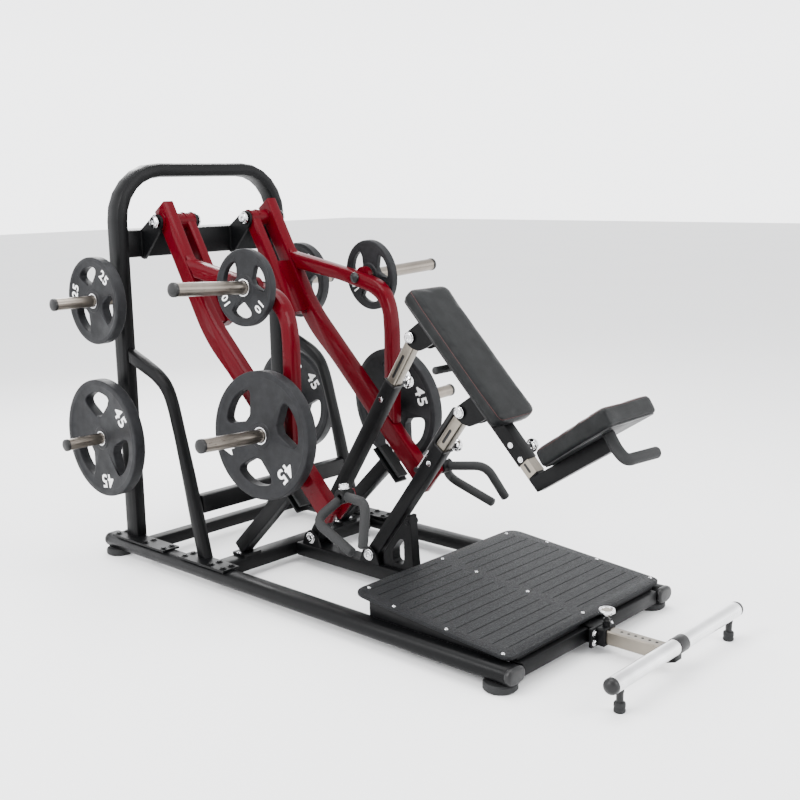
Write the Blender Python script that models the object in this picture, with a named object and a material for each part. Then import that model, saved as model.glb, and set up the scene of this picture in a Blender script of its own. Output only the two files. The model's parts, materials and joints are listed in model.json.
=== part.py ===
"""Plate-loaded chest-supported row machine: metres, +Z up, front of the machine toward +X."""

import math

import bmesh
import bpy
from mathutils import Matrix, Vector

GAP = 0.0003
BEND_R = 0.7
RAIL_Y, RAIL_W, RAIL_LOW, RAIL_TOP = 0.418, 0.080, 0.026, 0.080
RAIL_X0, RAIL_X1 = -0.050, 1.955
FOOT_XS, FOOT_R = (-0.005, 1.8955), 0.052
HOOP_X0, HOOP_X1, HOOP_Y, HOOP_T = 0.0375, 0.1177, 0.390, 0.052
HOOP_TOP, HOOP_BEND = 1.5186, 0.2135
BRACE_T = 0.045
PIVOT_X, PIVOT_Z, PIVOT_Y = 0.200, 1.301, 0.215
BEAM_Y, BEAM_T = 0.255, 0.050
R45, R25, R10 = 0.225, 0.161, 0.134
T45, T25, T10 = 0.045, 0.040, 0.028
BORE_R, HORN_R, PEG_R = 0.0255, 0.0235, 0.0215
STORE_45 = (0.063, 0.514, 0.494, 0.664)
STORE_25 = (0.096, 0.531, 1.021, 0.693)
ARM_45 = (0.815, 0.3635, 0.5825, 0.636)
ARM_10 = (0.715, 0.328, 1.085, 0.640)
ARM_TILT, ARM_TOE = math.radians(3.5), math.radians(4.5)
BAR_X, BAR_Z, BAR_R, BAR_Y = 2.231, 0.090, 0.024, 0.385
STRUT_A = ((0.700, 0.110), (1.222, 0.920))
STRUT_B = ((1.006, 0.110), (1.437, 0.690))
PAD_T, PAD_N = (0.6947, -0.7193), (0.7193, 0.6947)
SEAT_T, SEAT_N = (0.8387, 0.5446), (-0.5446, 0.8387)
DECK_X0, DECK_X1, DECK_Y, DECK_T = 1.305, 1.930, 0.425, 0.012
DECK_Z0, DECK_FALL = 0.155, 0.0873
RECEIVER_X0, RECEIVER_X1 = 1.760, 2.000
KNOB_R = 0.023
KNOB_X = 1.976
GRIP_X, GRIP_Z = 1.118, 0.400
PIVOT_PIN_R = 0.008
CENTRE_X = ((STORE_45[0] - R45) + (BAR_X + BAR_R)) / 2

COLOURS = {
    "frame": (0.012, 0.012, 0.013, 1),
    "arm": (0.22, 0.004, 0.012, 1),
    "plate": (0.02, 0.022, 0.024, 1),
    "nickel": (0.45, 0.43, 0.41, 1),
    "pad": (0.012, 0.012, 0.013, 1),
    "grip": (0.03, 0.03, 0.032, 1),
    "deck": (0.02, 0.021, 0.023, 1),
}


def clear_scene():
    for item in list(bpy.data.objects):
        bpy.data.objects.remove(item)


def object_of(name, bm):
    bmesh.ops.recalc_face_normals(bm, faces=bm.faces)
    mesh = bpy.data.meshes.new(name)
    bm.to_mesh(mesh)
    bm.free()
    made = bpy.data.objects.new(name, mesh)
    bpy.context.scene.collection.objects.link(made)
    return made


def extruded(corners, shift, edge=0.0, steps=1):
    """A closed outline, pushed along a vector, its two rims rounded off."""
    bm = bmesh.new()
    face = bm.faces.new([bm.verts.new(c) for c in corners])
    made = bmesh.ops.extrude_face_region(bm, geom=[face])
    moved = [v for v in made["geom"] if isinstance(v, bmesh.types.BMVert)]
    bmesh.ops.translate(bm, verts=moved, vec=shift)
    if edge:
        way = Vector(shift).normalized()
        rims = [e for e in bm.edges if abs((e.verts[0].co - e.verts[1].co).normalized().dot(way)) < 0.5]
        bmesh.ops.bevel(bm, geom=rims, offset=edge, segments=steps, profile=0.5, affect="EDGES")
    return object_of("piece", bm)


def side_plate(outline, y0, y1, edge=0.0, steps=1):
    """An outline in the X-Z plane between two Y values."""
    return extruded([(x, y0, z) for x, z in outline], (0, y1 - y0, 0), edge, steps)


def box(x0, x1, y0, y1, z0, z1, edge=0.0, steps=1):
    corners = [(x0, y0, z0), (x1, y0, z0), (x1, y1, z0), (x0, y1, z0)]
    bm = bmesh.new()
    face = bm.faces.new([bm.verts.new(c) for c in corners])
    made = bmesh.ops.extrude_face_region(bm, geom=[face])
    moved = [v for v in made["geom"] if isinstance(v, bmesh.types.BMVert)]
    bmesh.ops.translate(bm, verts=moved, vec=(0, 0, z1 - z0))
    if edge:
        bmesh.ops.bevel(bm, geom=list(bm.edges), offset=edge, segments=steps, profile=0.5, affect="EDGES")
    return object_of("piece", bm)


def frame_of(way):
    way = Vector(way).normalized()
    helper = Vector((0, 1, 0)) if abs(way.y) < 0.9 else Vector((0, 0, 1))
    across = way.cross(helper).normalized()
    return way, across, way.cross(across).normalized()


def rod(start, end, radius, sides=16, edge=0.0):
    """A round bar between two points."""
    start, end = Vector(start), Vector(end)
    way, across, up = frame_of(end - start)
    turns = [2 * math.pi * k / sides for k in range(sides)]
    ring = [start + across * math.cos(a) * radius + up * math.sin(a) * radius for a in turns]
    return extruded(ring, end - start, edge)


def square_tube(start, end, wide, deep, edge=0.005, steps=1):
    """A square bar in the X-Z plane, wide in Y, with rounded long edges."""
    start, end = Vector(start), Vector(end)
    way = (end - start).normalized()
    side = Vector((-way.z, 0, way.x))
    ring = []
    for sy, sn, first in ((1, 1, 0), (-1, 1, 1), (-1, -1, 2), (1, -1, 3)):
        centre = start + Vector((0, 1, 0)) * sy * (wide / 2 - edge) + side * sn * (deep / 2 - edge)
        for k in range(steps + 1):
            a = math.pi / 2 * (first + k / steps)
            ring.append(centre + Vector((0, 1, 0)) * math.cos(a) * edge + side * math.sin(a) * edge)
    return extruded(ring, end - start)


def bent_tube(points, radius, bend, sides=12, steps=3):
    """A round tube along a bent line, its ends closed."""
    points = [Vector(p) for p in points]
    line = [points[0]]
    for k in range(1, len(points) - 1):
        before = (points[k - 1] - points[k]).normalized()
        after = (points[k + 1] - points[k]).normalized()
        for j in range(steps + 1):
            t = j / steps
            a = points[k] + before * bend
            b = points[k] + after * bend
            line.append(a * (1 - t) ** 2 + points[k] * 2 * t * (1 - t) + b * t * t)
    line.append(points[-1])
    bm = bmesh.new()
    way, across, up = frame_of(line[1] - line[0])
    rings = []
    for k, centre in enumerate(line):
        into = (line[k] - line[k - 1]).normalized() if k else way
        out = (line[k + 1] - line[k]).normalized() if k < len(line) - 1 else into
        along = (into + out).normalized()
        across = (across - along * across.dot(along)).normalized()
        up = along.cross(across)
        ring = []
        for j in range(sides):
            a = 2 * math.pi * j / sides
            ring.append(bm.verts.new(centre + across * math.cos(a) * radius + up * math.sin(a) * radius))
        rings.append(ring)
    for first, second in zip(rings, rings[1:]):
        for j in range(sides):
            bm.faces.new((first[j], first[(j + 1) % sides], second[(j + 1) % sides], second[j]))
    bm.faces.new(rings[0])
    bm.faces.new(rings[-1])
    return object_of("piece", bm)


def filleted(outline, radii, steps=4):
    """The outline with its corners rounded by the radii given, 0 for a sharp one."""
    made = []
    count = len(outline)
    for k, (x, z) in enumerate(outline):
        if not radii[k]:
            made.append((x, z))
            continue
        here = Vector((x, z))
        before = Vector(outline[k - 1]) - here
        after = Vector(outline[(k + 1) % count]) - here
        half = before.angle(after) / 2
        reach = min(radii[k] / math.tan(half), before.length * 0.49, after.length * 0.49)
        a, b = here + before.normalized() * reach, here + after.normalized() * reach
        for j in range(steps + 1):
            t = j / steps
            p = a * (1 - t) ** 2 + here * 2 * t * (1 - t) + b * t * t
            made.append((p.x, p.y))
    return made


def combined(base, tools, how="UNION"):
    for tool in tools:
        change = base.modifiers.new("join", "BOOLEAN")
        change.object = tool
        change.operation = how
        change.solver = "EXACT"
    bpy.context.view_layer.update()
    graph = bpy.context.evaluated_depsgraph_get()
    mesh = bpy.data.meshes.new_from_object(base.evaluated_get(graph))
    made = bpy.data.objects.new("piece", mesh)
    bpy.context.scene.collection.objects.link(made)
    for used in [base] + list(tools):
        bpy.data.objects.remove(used)
    return made


def mirrored(made, side):
    """The piece itself for the left side, its mirror image for the right one."""
    if side < 0:
        return made
    bm = bmesh.new()
    bm.from_mesh(made.data)
    for v in bm.verts:
        v.co.y = -v.co.y
    bmesh.ops.reverse_faces(bm, faces=bm.faces)
    bm.to_mesh(made.data)
    bm.free()
    return made


def node(name, made, slot, pivot=(0, 0, 0)):
    """Names a finished piece, puts its origin on its pivot, and moves it to the middle of the machine."""
    made.name = name
    made.data.name = name
    pivot = Vector(pivot)
    for v in made.data.vertices:
        v.co -= pivot
    made.location = pivot - Vector((CENTRE_X, 0, 0))
    paint = bpy.data.materials.get(slot) or bpy.data.materials.new(slot)
    paint.use_nodes = True
    paint.node_tree.nodes["Principled BSDF"].inputs["Base Color"].default_value = COLOURS[slot]
    made.data.materials.clear()
    made.data.materials.append(paint)
    for face in made.data.polygons:
        face.use_smooth = False
    return made


def oval_bar(x0, x1, y, z0, z1, wide):
    """A flat oval tube lying along X, its ends slightly domed."""
    r = (z1 - z0) / 2
    ring = []
    for side in (1, -1):
        for k in range(7):
            a = -math.pi / 2 + math.pi * k / 6
            ring.append((x0, y + side * (wide / 2 - r + r * math.cos(a)), z0 + r + side * r * math.sin(a)))
    return extruded(ring, (x1 - x0, 0, 0), 0.008, 2)


def rails_and_feet():
    for side, word in ((-1, "left"), (1, "right")):
        node("rail_" + word, oval_bar(RAIL_X0, RAIL_X1, side * RAIL_Y, RAIL_LOW, RAIL_TOP, RAIL_W), "frame")
        for x, where in zip(FOOT_XS, ("rear", "front")):
            foot = rod((x, side * RAIL_Y, 0), (x, side * RAIL_Y, RAIL_LOW - GAP), FOOT_R, 24, 0.005)
            node(f"foot_{where}_{word}", foot, "grip")


def cross_members():
    reach = RAIL_Y - RAIL_W / 2 - GAP
    rear = box(0.130, 0.180, -reach, reach, 0.040, 0.088, 0.008, 2)
    node("rear_cross_tube", rear, "frame")
    main = box(0.550, 0.620, -reach, reach, RAIL_LOW, RAIL_TOP, 0.008, 2)
    node("main_cross_member", main, "frame")
    for side, word in ((-1, "left"), (1, "right")):
        near, far = 0.033 + GAP, reach
        half = box(1.895, 1.945, -far, -near, 0.032, 0.078, 0.006, 2)
        node("front_cross_member_" + word, mirrored(half, side), "frame")


def centre_spine():
    """The middle tube of the base, with the two strut ears and the gusset that hold the pad posts."""
    tube = box(0.620 + GAP, RECEIVER_X0 - GAP, -0.040, 0.040, RAIL_LOW, RAIL_TOP, 0.008, 2)
    parts = []
    for (x, z), back in ((STRUT_A[0], 0.050), (STRUT_B[0], 0.050)):
        for side in (-1, 1):
            outline = [(x - back, RAIL_TOP - 0.012), (x + 0.055, RAIL_TOP - 0.012), (x + 0.030, z + 0.014)]
            outline += [(x + 0.012, z + 0.028), (x - 0.012, z + 0.028), (x - 0.032, z + 0.010)]
            y0 = side * 0.0275
            parts.append(side_plate(outline, y0, y0 + side * 0.008))
    gusset = [(1.062, 0.070), (1.212, 0.070), (1.194, 0.286)]
    gusset += [(1.180, 0.286), (1.108, 0.190), (1.062, 0.128)]
    post = side_plate(gusset, -0.020, 0.020, 0.003)
    window = [(1.110, 0.100), (1.165, 0.100), (1.165, 0.195), (1.147, 0.195), (1.110, 0.150)]
    window = filleted(window, [0.02] * len(window), 3)
    parts.append(combined(post, [side_plate(window, -0.1, 0.1)], "DIFFERENCE"))
    return node("centre_spine", combined(tube, parts), "frame")


def rear_hoop():
    out_y, in_y = HOOP_Y + HOOP_T / 2, HOOP_Y - HOOP_T / 2
    low = RAIL_TOP + GAP
    outline = []
    arcs = []
    for r in (HOOP_BEND, HOOP_BEND - HOOP_T):
        arc = []
        for k in range(7):
            a = math.pi / 2 * k / 6
            y = out_y - HOOP_BEND + r * math.cos(a)
            z = HOOP_TOP - HOOP_BEND + r * math.sin(a)
            arc.append((y, z))
        arcs.append(arc)
    outline += [(out_y, low)] + arcs[0] + [(-y, z) for y, z in reversed(arcs[0])] + [(-out_y, low)]
    outline += [(-in_y, low)] + [(-y, z) for y, z in arcs[1]] + list(reversed(arcs[1])) + [(in_y, low)]
    tube = extruded([(HOOP_X0, y, z) for y, z in outline], (HOOP_X1 - HOOP_X0, 0, 0), 0.017, 2)
    parts = []
    for side in (-1, 1):
        lug = box(0.004, 0.335, -0.4535, -0.3785, low, low + 0.008)
        parts.append(mirrored(lug, side))
        for x, _, z, _ in (STORE_45, STORE_25):
            boss = rod((x, -(out_y - 0.010), z), (x, -(out_y + 0.004), z), 0.030, 20)
            parts.append(mirrored(boss, side))
    return node("rear_hoop", combined(tube, parts), "frame")


def braces():
    """The two bent legs from the rear hoop down to the rails, and the tube that ties them."""
    low = RAIL_TOP + GAP
    outer = [(HOOP_X1 + GAP, 0.829), (0.200, 0.799), (0.292, 0.762), (0.348, 0.718), (0.380, 0.650)]
    outer += [(0.416, 0.523), (0.451, 0.406), (0.481, 0.295), (0.537, low)]
    inner = [(0.486, low), (0.449, 0.221), (0.416, 0.368), (0.380, 0.519), (0.348, 0.628), (0.323, 0.683)]
    inner += [(0.270, 0.722), (0.177, 0.755), (HOOP_X1 + GAP, 0.776)]
    radii = [0] + [BEND_R] * 6 + [0] * 4 + [BEND_R] * 6 + [0]
    shape = filleted(outer + inner, radii, 3)
    y0, y1 = -(HOOP_Y + BRACE_T / 2), -(HOOP_Y - BRACE_T / 2)
    for side, word in ((-1, "left"), (1, "right")):
        leg = side_plate(shape, y0, y1, 0.015, 2)
        pad = box(0.425, 0.690, -0.4535, -0.3785, low, low + 0.008)
        node("brace_" + word, mirrored(combined(leg, [pad]), side), "frame")
    reach = HOOP_Y - BRACE_T / 2 - GAP
    node("brace_cross_tube", box(0.437, 0.484, -reach, reach, 0.240, 0.310, 0.010, 2), "frame")


def pivot_crossbar():
    """The high cross tube, with the four bracket plates and two pins on which the arms swing."""
    reach = HOOP_Y - HOOP_T / 2 - GAP
    bar = box(0.045, 0.101, -reach, reach, 1.169, 1.271, 0.008, 2)
    ear = [(0.090, 1.166), (0.112, 1.160), (0.226, 1.280), (0.230, 1.312), (0.212, 1.330), (0.186, 1.329)]
    ear = filleted(ear + [(0.090, 1.266)], [0, 0.01, 0.02, 0.02, 0.02, 0.02, 0], 3)
    parts = []
    for side in (-1, 1):
        for y0, y1 in ((0.128, 0.138), (0.292, 0.302)):
            parts.append(side_plate(ear, side * y0, side * y1))
        parts.append(rod((PIVOT_X, side * 0.120, PIVOT_Z), (PIVOT_X, side * 0.310, PIVOT_Z), 0.016, 16))
    return node("pivot_crossbar", combined(bar, parts), "frame")


def horn(y_root, y_end, x, z, radius, tilt=0.0, toe=0.0, lip=0.010):
    """A weight peg along Y with a collar at its root and a chamfered end."""
    rise, lead = math.tan(tilt), math.tan(toe)
    reach = y_end - y_root
    start = Vector((x, -y_root, z))
    peg = rod(start, start + Vector((lead, -1, rise)) * reach, radius, 20, 0.003)
    collar = rod(start, start + Vector((lead, -1, rise)) * lip, radius + 0.008, 20)
    return combined(peg, [collar])


def hand_hole(radius, angle, wide, deep):
    """One rounded triangular opening, its middle at the angle given."""
    inner, outer = radius * 0.38, radius * 0.79
    spread = math.radians(wide)
    corners = [(inner, -spread * 0.32), (outer, -spread), (outer * 1.05, 0.0), (outer, spread)]
    corners += [(inner, spread * 0.32)]
    outline = [(r * math.cos(angle + a), r * math.sin(angle + a)) for r, a in corners]
    outline = filleted(outline, [0.012, 0.026, 0.0, 0.026, 0.012], 2)
    return side_plate(outline, -deep, deep)


def plate(name, where, radius, thick, holes, side, bore, tilt=0.0, toe=0.0):
    """A weight plate on its peg: tilted up and toed forward with the peg."""
    x, face, z, _ = where
    made = rod((0, -thick / 2, 0), (0, thick / 2, 0), radius, 44)
    cuts = [hand_hole(radius, math.radians(a), 33, thick) for a in holes]
    cuts.append(rod((0, -thick, 0), (0, thick, 0), bore, 20))
    made = combined(made, cuts, "DIFFERENCE")
    lead = math.tan(toe) * thick / 2
    centre = Vector((x - lead, -(face - thick / 2), z - thick / 2 * math.tan(tilt)))
    turn = Matrix.Rotation(toe, 4, "Z") @ Matrix.Rotation(-tilt, 4, "X")
    made.data.transform(Matrix.Translation(centre) @ turn)
    made = mirrored(made, side)
    return node(name, made, "plate", (centre.x, -side * centre.y, centre.z))


def storage():
    for side, word in ((-1, "left"), (1, "right")):
        for where, size, r, t, holes in (
            (STORE_45, "45", R45, T45, (97, 217, 337)),
            (STORE_25, "25", R25, T25, (105, 225, 345)),
        ):
            x, face, z, end = where
            root = HOOP_Y + HOOP_T / 2 + 0.004 + GAP
            peg = horn(root, end, x, z, PEG_R, lip=0.003)
            node(f"storage_horn_{size}_{word}", mirrored(peg, side), "nickel")
            bore = PEG_R + 0.0012
            plate(f"plate_{size}_storage_{word}", where, r, t, holes, side, bore)


def main_beam():
    outline = [(0.158, 1.338), (0.2145, 1.3775), (0.4437, 0.9713), (1.075, 0.345), (1.030, 0.285)]
    outline += [(0.560, 0.755), (0.426, 0.872)]
    outline = filleted(outline, [0, 0, BEND_R, 0, 0, BEND_R, BEND_R], 6)
    y0, y1 = -(BEAM_Y + BEAM_T / 2), -(BEAM_Y - BEAM_T / 2)
    return side_plate(outline, y0, y1, 0.006, 2)


def arm_weldment(side, word):
    """One swinging arm: hub, outer beam, shorter inner beam and the cross plates between them."""
    outer = main_beam()
    drop = Vector((0.5075, 0, -0.8616))
    start = Vector((PIVOT_X - 0.004, -0.162, PIVOT_Z + 0.007))
    inner = square_tube(start, start + drop * 0.445, 0.040, 0.052, 0.006, 2)
    hub = rod((PIVOT_X, -0.1395, PIVOT_Z), (PIVOT_X, -0.2905, PIVOT_Z), 0.031, 24)
    web = square_tube(start + drop * 0.215, start + drop * 0.440, 0.100, 0.034, 0.004, 2)
    for v in web.data.vertices:
        v.co.y -= 0.035
    cheek = [(1.010, 0.330), (1.060, 0.300), (GRIP_X + 0.020, GRIP_Z - 0.010)]
    cheek += [(GRIP_X + 0.010, GRIP_Z + 0.020), (GRIP_X - 0.014, GRIP_Z + 0.018), (1.030, 0.370)]
    cheek = side_plate(cheek, -0.2320, -0.2220)
    pin = rod((GRIP_X, -0.2260, GRIP_Z), (GRIP_X, -0.2680, GRIP_Z), PIVOT_PIN_R, 16)
    arm = combined(combined(outer, [hub, inner]), [web, cheek, pin])
    bore = rod((PIVOT_X, -0.1, PIVOT_Z), (PIVOT_X, -0.35, PIVOT_Z), 0.0168, 16)
    arm = combined(arm, [bore], "DIFFERENCE")
    pivot = (PIVOT_X, side * PIVOT_Y, PIVOT_Z)
    return node("arm_beam_" + word, mirrored(arm, side), "arm", pivot)


def arm_branch(side, word):
    """The bent loop above the beam, which carries the two weight pegs."""
    outline = [(0.3320, 1.1790), (0.343, 1.166), (0.637, 1.112), (0.732, 1.094), (0.812, 1.072)]
    outline += [(0.856, 1.035), (0.882, 0.980), (0.895, 0.900), (0.891, 0.5338)]
    outline += [(0.845, 0.5795), (0.849, 0.880), (0.845, 0.955), (0.825, 0.998), (0.780, 1.025)]
    outline += [(0.735, 1.038), (0.614, 1.065), (0.3765, 1.1005)]
    radii = [0] * 3 + [BEND_R] * 5 + [0] * 2 + [BEND_R] * 6 + [0]
    outline = filleted(outline, radii, 3)
    y0, y1 = -(BEAM_Y + BEAM_T / 2), -(BEAM_Y - BEAM_T / 2)
    loop = side_plate(outline, y0, y1, 0.008, 2)
    boss = rod((ARM_10[0], -0.262, ARM_10[2]), (ARM_10[0], -0.2835, ARM_10[2]), 0.034, 24)
    made = combined(loop, [boss])
    pivot = (PIVOT_X, side * PIVOT_Y, PIVOT_Z)
    return node("arm_branch_" + word, mirrored(made, side), "arm", pivot)


def arm_handle(side, word):
    """The two-pronged rubber grip that swivels on a pin at the lower end of the arm."""
    root = (GRIP_X, -0.262, GRIP_Z)
    first = bent_tube([root, (1.271, -0.314, 0.414), (1.312, -0.376, 0.290)], 0.017, 0.03)
    second = bent_tube([root, (1.070, -0.354, 0.326), (1.256, -0.371, 0.260)], 0.017, 0.03)
    yoke = rod((GRIP_X, -0.2330, GRIP_Z), (GRIP_X, -0.2860, GRIP_Z), 0.025, 20, 0.003)
    bore = rod((GRIP_X, -0.2000, GRIP_Z), (GRIP_X, -0.2690, GRIP_Z), PIVOT_PIN_R + 0.0004, 16)
    made = combined(combined(first, [second, yoke]), [bore], "DIFFERENCE")
    return node("handle_" + word, mirrored(made, side), "grip", (GRIP_X, side * 0.255, GRIP_Z))


def arms():
    for side, word in ((-1, "left"), (1, "right")):
        arm_weldment(side, word)
        arm_branch(side, word)
        for where, size in ((ARM_45, "45"), (ARM_10, "10")):
            x, face, z, end = where
            root = 0.2885 if size == "10" else 0.2847
            fall, lead = (face - root) * math.tan(ARM_TILT), (face - root) * math.tan(ARM_TOE)
            peg = horn(root, end, x - lead, z - fall, HORN_R, ARM_TILT, ARM_TOE)
            node(f"arm_horn_{size}_{word}", mirrored(peg, side), "nickel")
        turned = (140, 20, 260) if side < 0 else (80, 200, 320)
        plate(f"plate_45_arm_{word}", ARM_45, R45, T45, turned, side, BORE_R, ARM_TILT, ARM_TOE)
        plate(f"plate_10_arm_{word}", ARM_10, R10, T10, (145, 25, 265), side, BORE_R, ARM_TILT, ARM_TOE)
        arm_handle(side, word)


def stops():
    """The sloping posts on the base and the rubber blocks on which the arms rest."""
    for side, word in ((-1, "left"), (1, "right")):
        y = -0.255
        post = square_tube((0.567, y, 0.1045), (0.838, y, 0.371), 0.050, 0.054, 0.006, 2)
        foot = box(0.551, 0.619, y - 0.040, y + 0.040, RAIL_TOP + GAP, 0.0920)
        head = square_tube((0.790, y, 0.422), (0.905, y, 0.307), 0.062, 0.010, 0.002)
        made = combined(post, [foot, head])
        node("stop_post_" + word, mirrored(made, side), "frame")
        lift = 0.0045
        top, low = (0.803 + lift, y, 0.422 + lift), (0.905 + lift, y, 0.320 + lift)
        rubber = square_tube(top, low, 0.050, 0.014, 0.003)
        for v in rubber.data.vertices:
            v.co.x += 0.0052
            v.co.z += 0.0052
        node("stop_rubber_" + word, mirrored(rubber, side), "grip")


def deck_height(x):
    return DECK_Z0 - (x - 1.326) * DECK_FALL


def foot_deck():
    """The sloping standing plate with a turned-down rear edge and side skirts that sit on the rails."""
    x0, x1 = DECK_X0, DECK_X1
    outline = [(x0, -DECK_Y), (x1, -DECK_Y), (x1, DECK_Y), (x0, DECK_Y)]
    outline = filleted(outline, [0.05, 0.03, 0.03, 0.05], 4)
    corners = [(x, y, deck_height(x) - DECK_T) for x, y in outline]
    top = extruded(corners, (0, 0, DECK_T), 0.002)
    parts = []
    for y0, y1 in ((-0.405, -0.399), (0.399, 0.405)):
        skirt = [(x0 + 0.06, RAIL_TOP + GAP), (x1 - 0.04, RAIL_TOP + GAP)]
        skirt += [(x1 - 0.04, deck_height(x1 - 0.04) - 0.006), (x0 + 0.06, deck_height(x0 + 0.06) - 0.006)]
        parts.append(side_plate(skirt, y0, y1))
    parts.append(box(x0 + 0.050, x0 + 0.090, -0.402, 0.402, RAIL_TOP + 0.012, 0.146))
    return node("foot_deck", combined(top, parts), "deck")


def strut(name, line, cut, y=0.0):
    """A square post from its low pivot; its inner tube slides out of its upper end."""
    (x0, z0), (x1, z1) = line
    way = Vector((x1 - x0, 0, z1 - z0)).normalized()
    foot = Vector((x0, y, z0))
    outer = square_tube(foot + way * 0.0, foot + way * cut, 0.050, 0.050, 0.006, 2)
    knuckle = rod((x0, -0.0265, z0), (x0, 0.0265, z0), 0.026, 20)
    hollow = square_tube(foot + way * (cut - 0.300), foot + way * (cut + 0.02), 0.0426, 0.0426, 0.004)
    made = combined(combined(outer, [knuckle]), [hollow], "DIFFERENCE")
    return node(name + "_outer_tube", made, "frame")


def inner_strut(name, line, cut):
    (x0, z0), (x1, z1) = line
    way = Vector((x1 - x0, 0, z1 - z0)).normalized()
    top = Vector((x1, 0, z1))
    foot = Vector((x0, 0, z0))
    tube = square_tube(foot + way * (cut - 0.150), top - way * 0.012, 0.0420, 0.0420, 0.004)
    eye = rod((x1, -0.0205, z1), (x1, 0.0205, z1), 0.024, 20)
    bore = rod((x1, -0.03, z1), (x1, 0.03, z1), 0.0120, 16)
    return node(name + "_inner_tube", combined(combined(tube, [eye]), [bore], "DIFFERENCE"), "nickel")


def on_pad(s, offset):
    return (PAD_T[0] * s + PAD_N[0] * offset, PAD_T[1] * s + PAD_N[1] * offset)


def on_seat(g, offset):
    return (SEAT_T[0] * g + SEAT_N[0] * offset, SEAT_T[1] * g + SEAT_N[1] * offset)


def block(at, s0, s1, n0, n1, y0, y1, edge=0.0, steps=1):
    """A block in one of the two sloping frames."""
    return side_plate([at(s0, n0), at(s1, n0), at(s1, n1), at(s0, n1)], y0, y1, edge, steps)


def pad_beam():
    """The sloping beam behind the chest pad, with its two hanger brackets and its carrier plate."""
    beam = block(on_pad, 0.112, 0.770, 1.573, 1.623, -0.025, 0.025, 0.005, 2)
    hollow = block(on_pad, 0.560, 0.790, 1.5767, 1.6193, -0.0213, 0.0213)
    parts = []
    shape = [(-0.011, 0.074), (0.081, 0.074), (0.070, 0.030), (0.057, -0.004)]
    shape += [(0.030, -0.022), (0, -0.030), (-0.024, -0.003)]
    for line in (STRUT_A, STRUT_B):
        x, z = line[1]
        s = PAD_T[0] * x + PAD_T[1] * z
        low = PAD_N[0] * x + PAD_N[1] * z
        ends = filleted([on_pad(s + a, low + b) for a, b in shape], [0, 0, 0.02, 0.02, 0.02, 0.02, 0.02], 2)
        for y0, y1 in ((-0.033, -0.0245), (0.0245, 0.033)):
            parts.append(side_plate(ends, y0, y1))
        parts.append(rod((x, -0.040, z), (x, 0.040, z), 0.010, 16))
    made = combined(combined(beam, [hollow], "DIFFERENCE"), parts)
    return node("pad_beam", made, "frame")


def pad_back_grip():
    """The short cross handle behind the chest pad."""
    x, z = on_pad(0.356, 1.573 - 0.0135 - GAP)
    return node("rear_grip_bar", rod((x, -0.080, z), (x, 0.080, z), 0.0135, 16, 0.003), "grip")


def chest_pad():
    cushion = block(on_pad, 0.091, 0.651, 1.6235, 1.677, -0.103, 0.103, 0.014, 3)
    return node("chest_pad", cushion, "pad")


def seat_tube():
    """The nickel tube inside the pad beam and the sloping seat beam welded to it."""
    slide = block(on_pad, 0.600, 0.828, 1.577, 1.619, -0.021, 0.021, 0.004, 1)
    elbow = [on_pad(0.8197, 1.577), on_pad(0.870, 1.577), on_seat(2.030, -0.554), on_seat(2.030, -0.5042)]
    seat = side_plate(elbow, -0.025, 0.025, 0.005, 2)
    return node("seat_tube", combined(seat, [slide]), "frame")


def seat_cushion():
    """The saddle seat: narrower behind, wider in front."""
    plan = [(1.800, 0.074), (1.900, 0.100), (2.030, 0.130), (2.150, 0.138)]
    low = [on_seat(g, -0.5037) for g, _ in plan]
    outline = [(low[k][0], -plan[k][1], low[k][1]) for k in range(4)]
    outline += [(low[k][0], plan[k][1], low[k][1]) for k in (3, 2, 1, 0)]
    up = (SEAT_N[0] * 0.063, 0, SEAT_N[1] * 0.063)
    return node("seat_cushion", extruded(outline, up, 0.014, 3), "pad")


def seat_grip():
    """The bent grip bar hung under the front of the seat."""
    line = [(2.0125, -0.050, 0.7010), (2.044, -0.052, 0.655)]
    line += [(2.076, -0.054, 0.632), (2.0958, 0.078, 0.6334)]
    arm = bent_tube(line, 0.0185, 0.018)
    return node("seat_grip", arm, "grip")


def front_receiver():
    """The square socket under the deck's front edge that guides the foot bar's tube."""
    shell = box(RECEIVER_X0, RECEIVER_X1, -0.033, 0.033, 0.026, 0.084, 0.004)
    collar = box(1.9600, 1.9720, -0.060, 0.060, 0.024, 0.086, 0.002)
    guide = rod((KNOB_X + 0.010, 0, 0.080), (KNOB_X + 0.010, 0, 0.098), 0.013)
    bore = box(RECEIVER_X0 - 0.010, RECEIVER_X1 + 0.020, -0.0232, 0.0232, 0.0315, 0.0785)
    pin = rod((KNOB_X + 0.010, 0, 0.060), (KNOB_X + 0.010, 0, 0.120), 0.0072)
    made = combined(combined(shell, [collar, guide]), [bore, pin], "DIFFERENCE")
    return node("front_receiver", made, "frame")


def foot_bar():
    """The sliding square tube, the round cross bar on its end and the bar's two footed stems."""
    tube = box(1.790, 2.212, -0.0225, 0.0225, 0.0325, 0.0775, 0.004)
    node("foot_bar_slide", tube, "nickel")
    bar = rod((BAR_X, -BAR_Y, BAR_Z), (BAR_X, BAR_Y, BAR_Z), BAR_R, 24, 0.003)
    parts = []
    for y in (-0.3214, 0.3214):
        parts.append(rod((BAR_X, y, 0.028), (BAR_X, y, BAR_Z), 0.010, 12))
        parts.append(rod((BAR_X, y, 0), (BAR_X, y, 0.030), 0.017, 16, 0.003))
    joint = filleted([(2.2125, 0.020), (2.236, 0.020), (2.236, 0.100), (2.2125, 0.100)], [0, 0, 0, 0])
    parts.append(side_plate(joint, -0.026, 0.026, 0.003))
    node("foot_bar", combined(bar, parts), "nickel")


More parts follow.
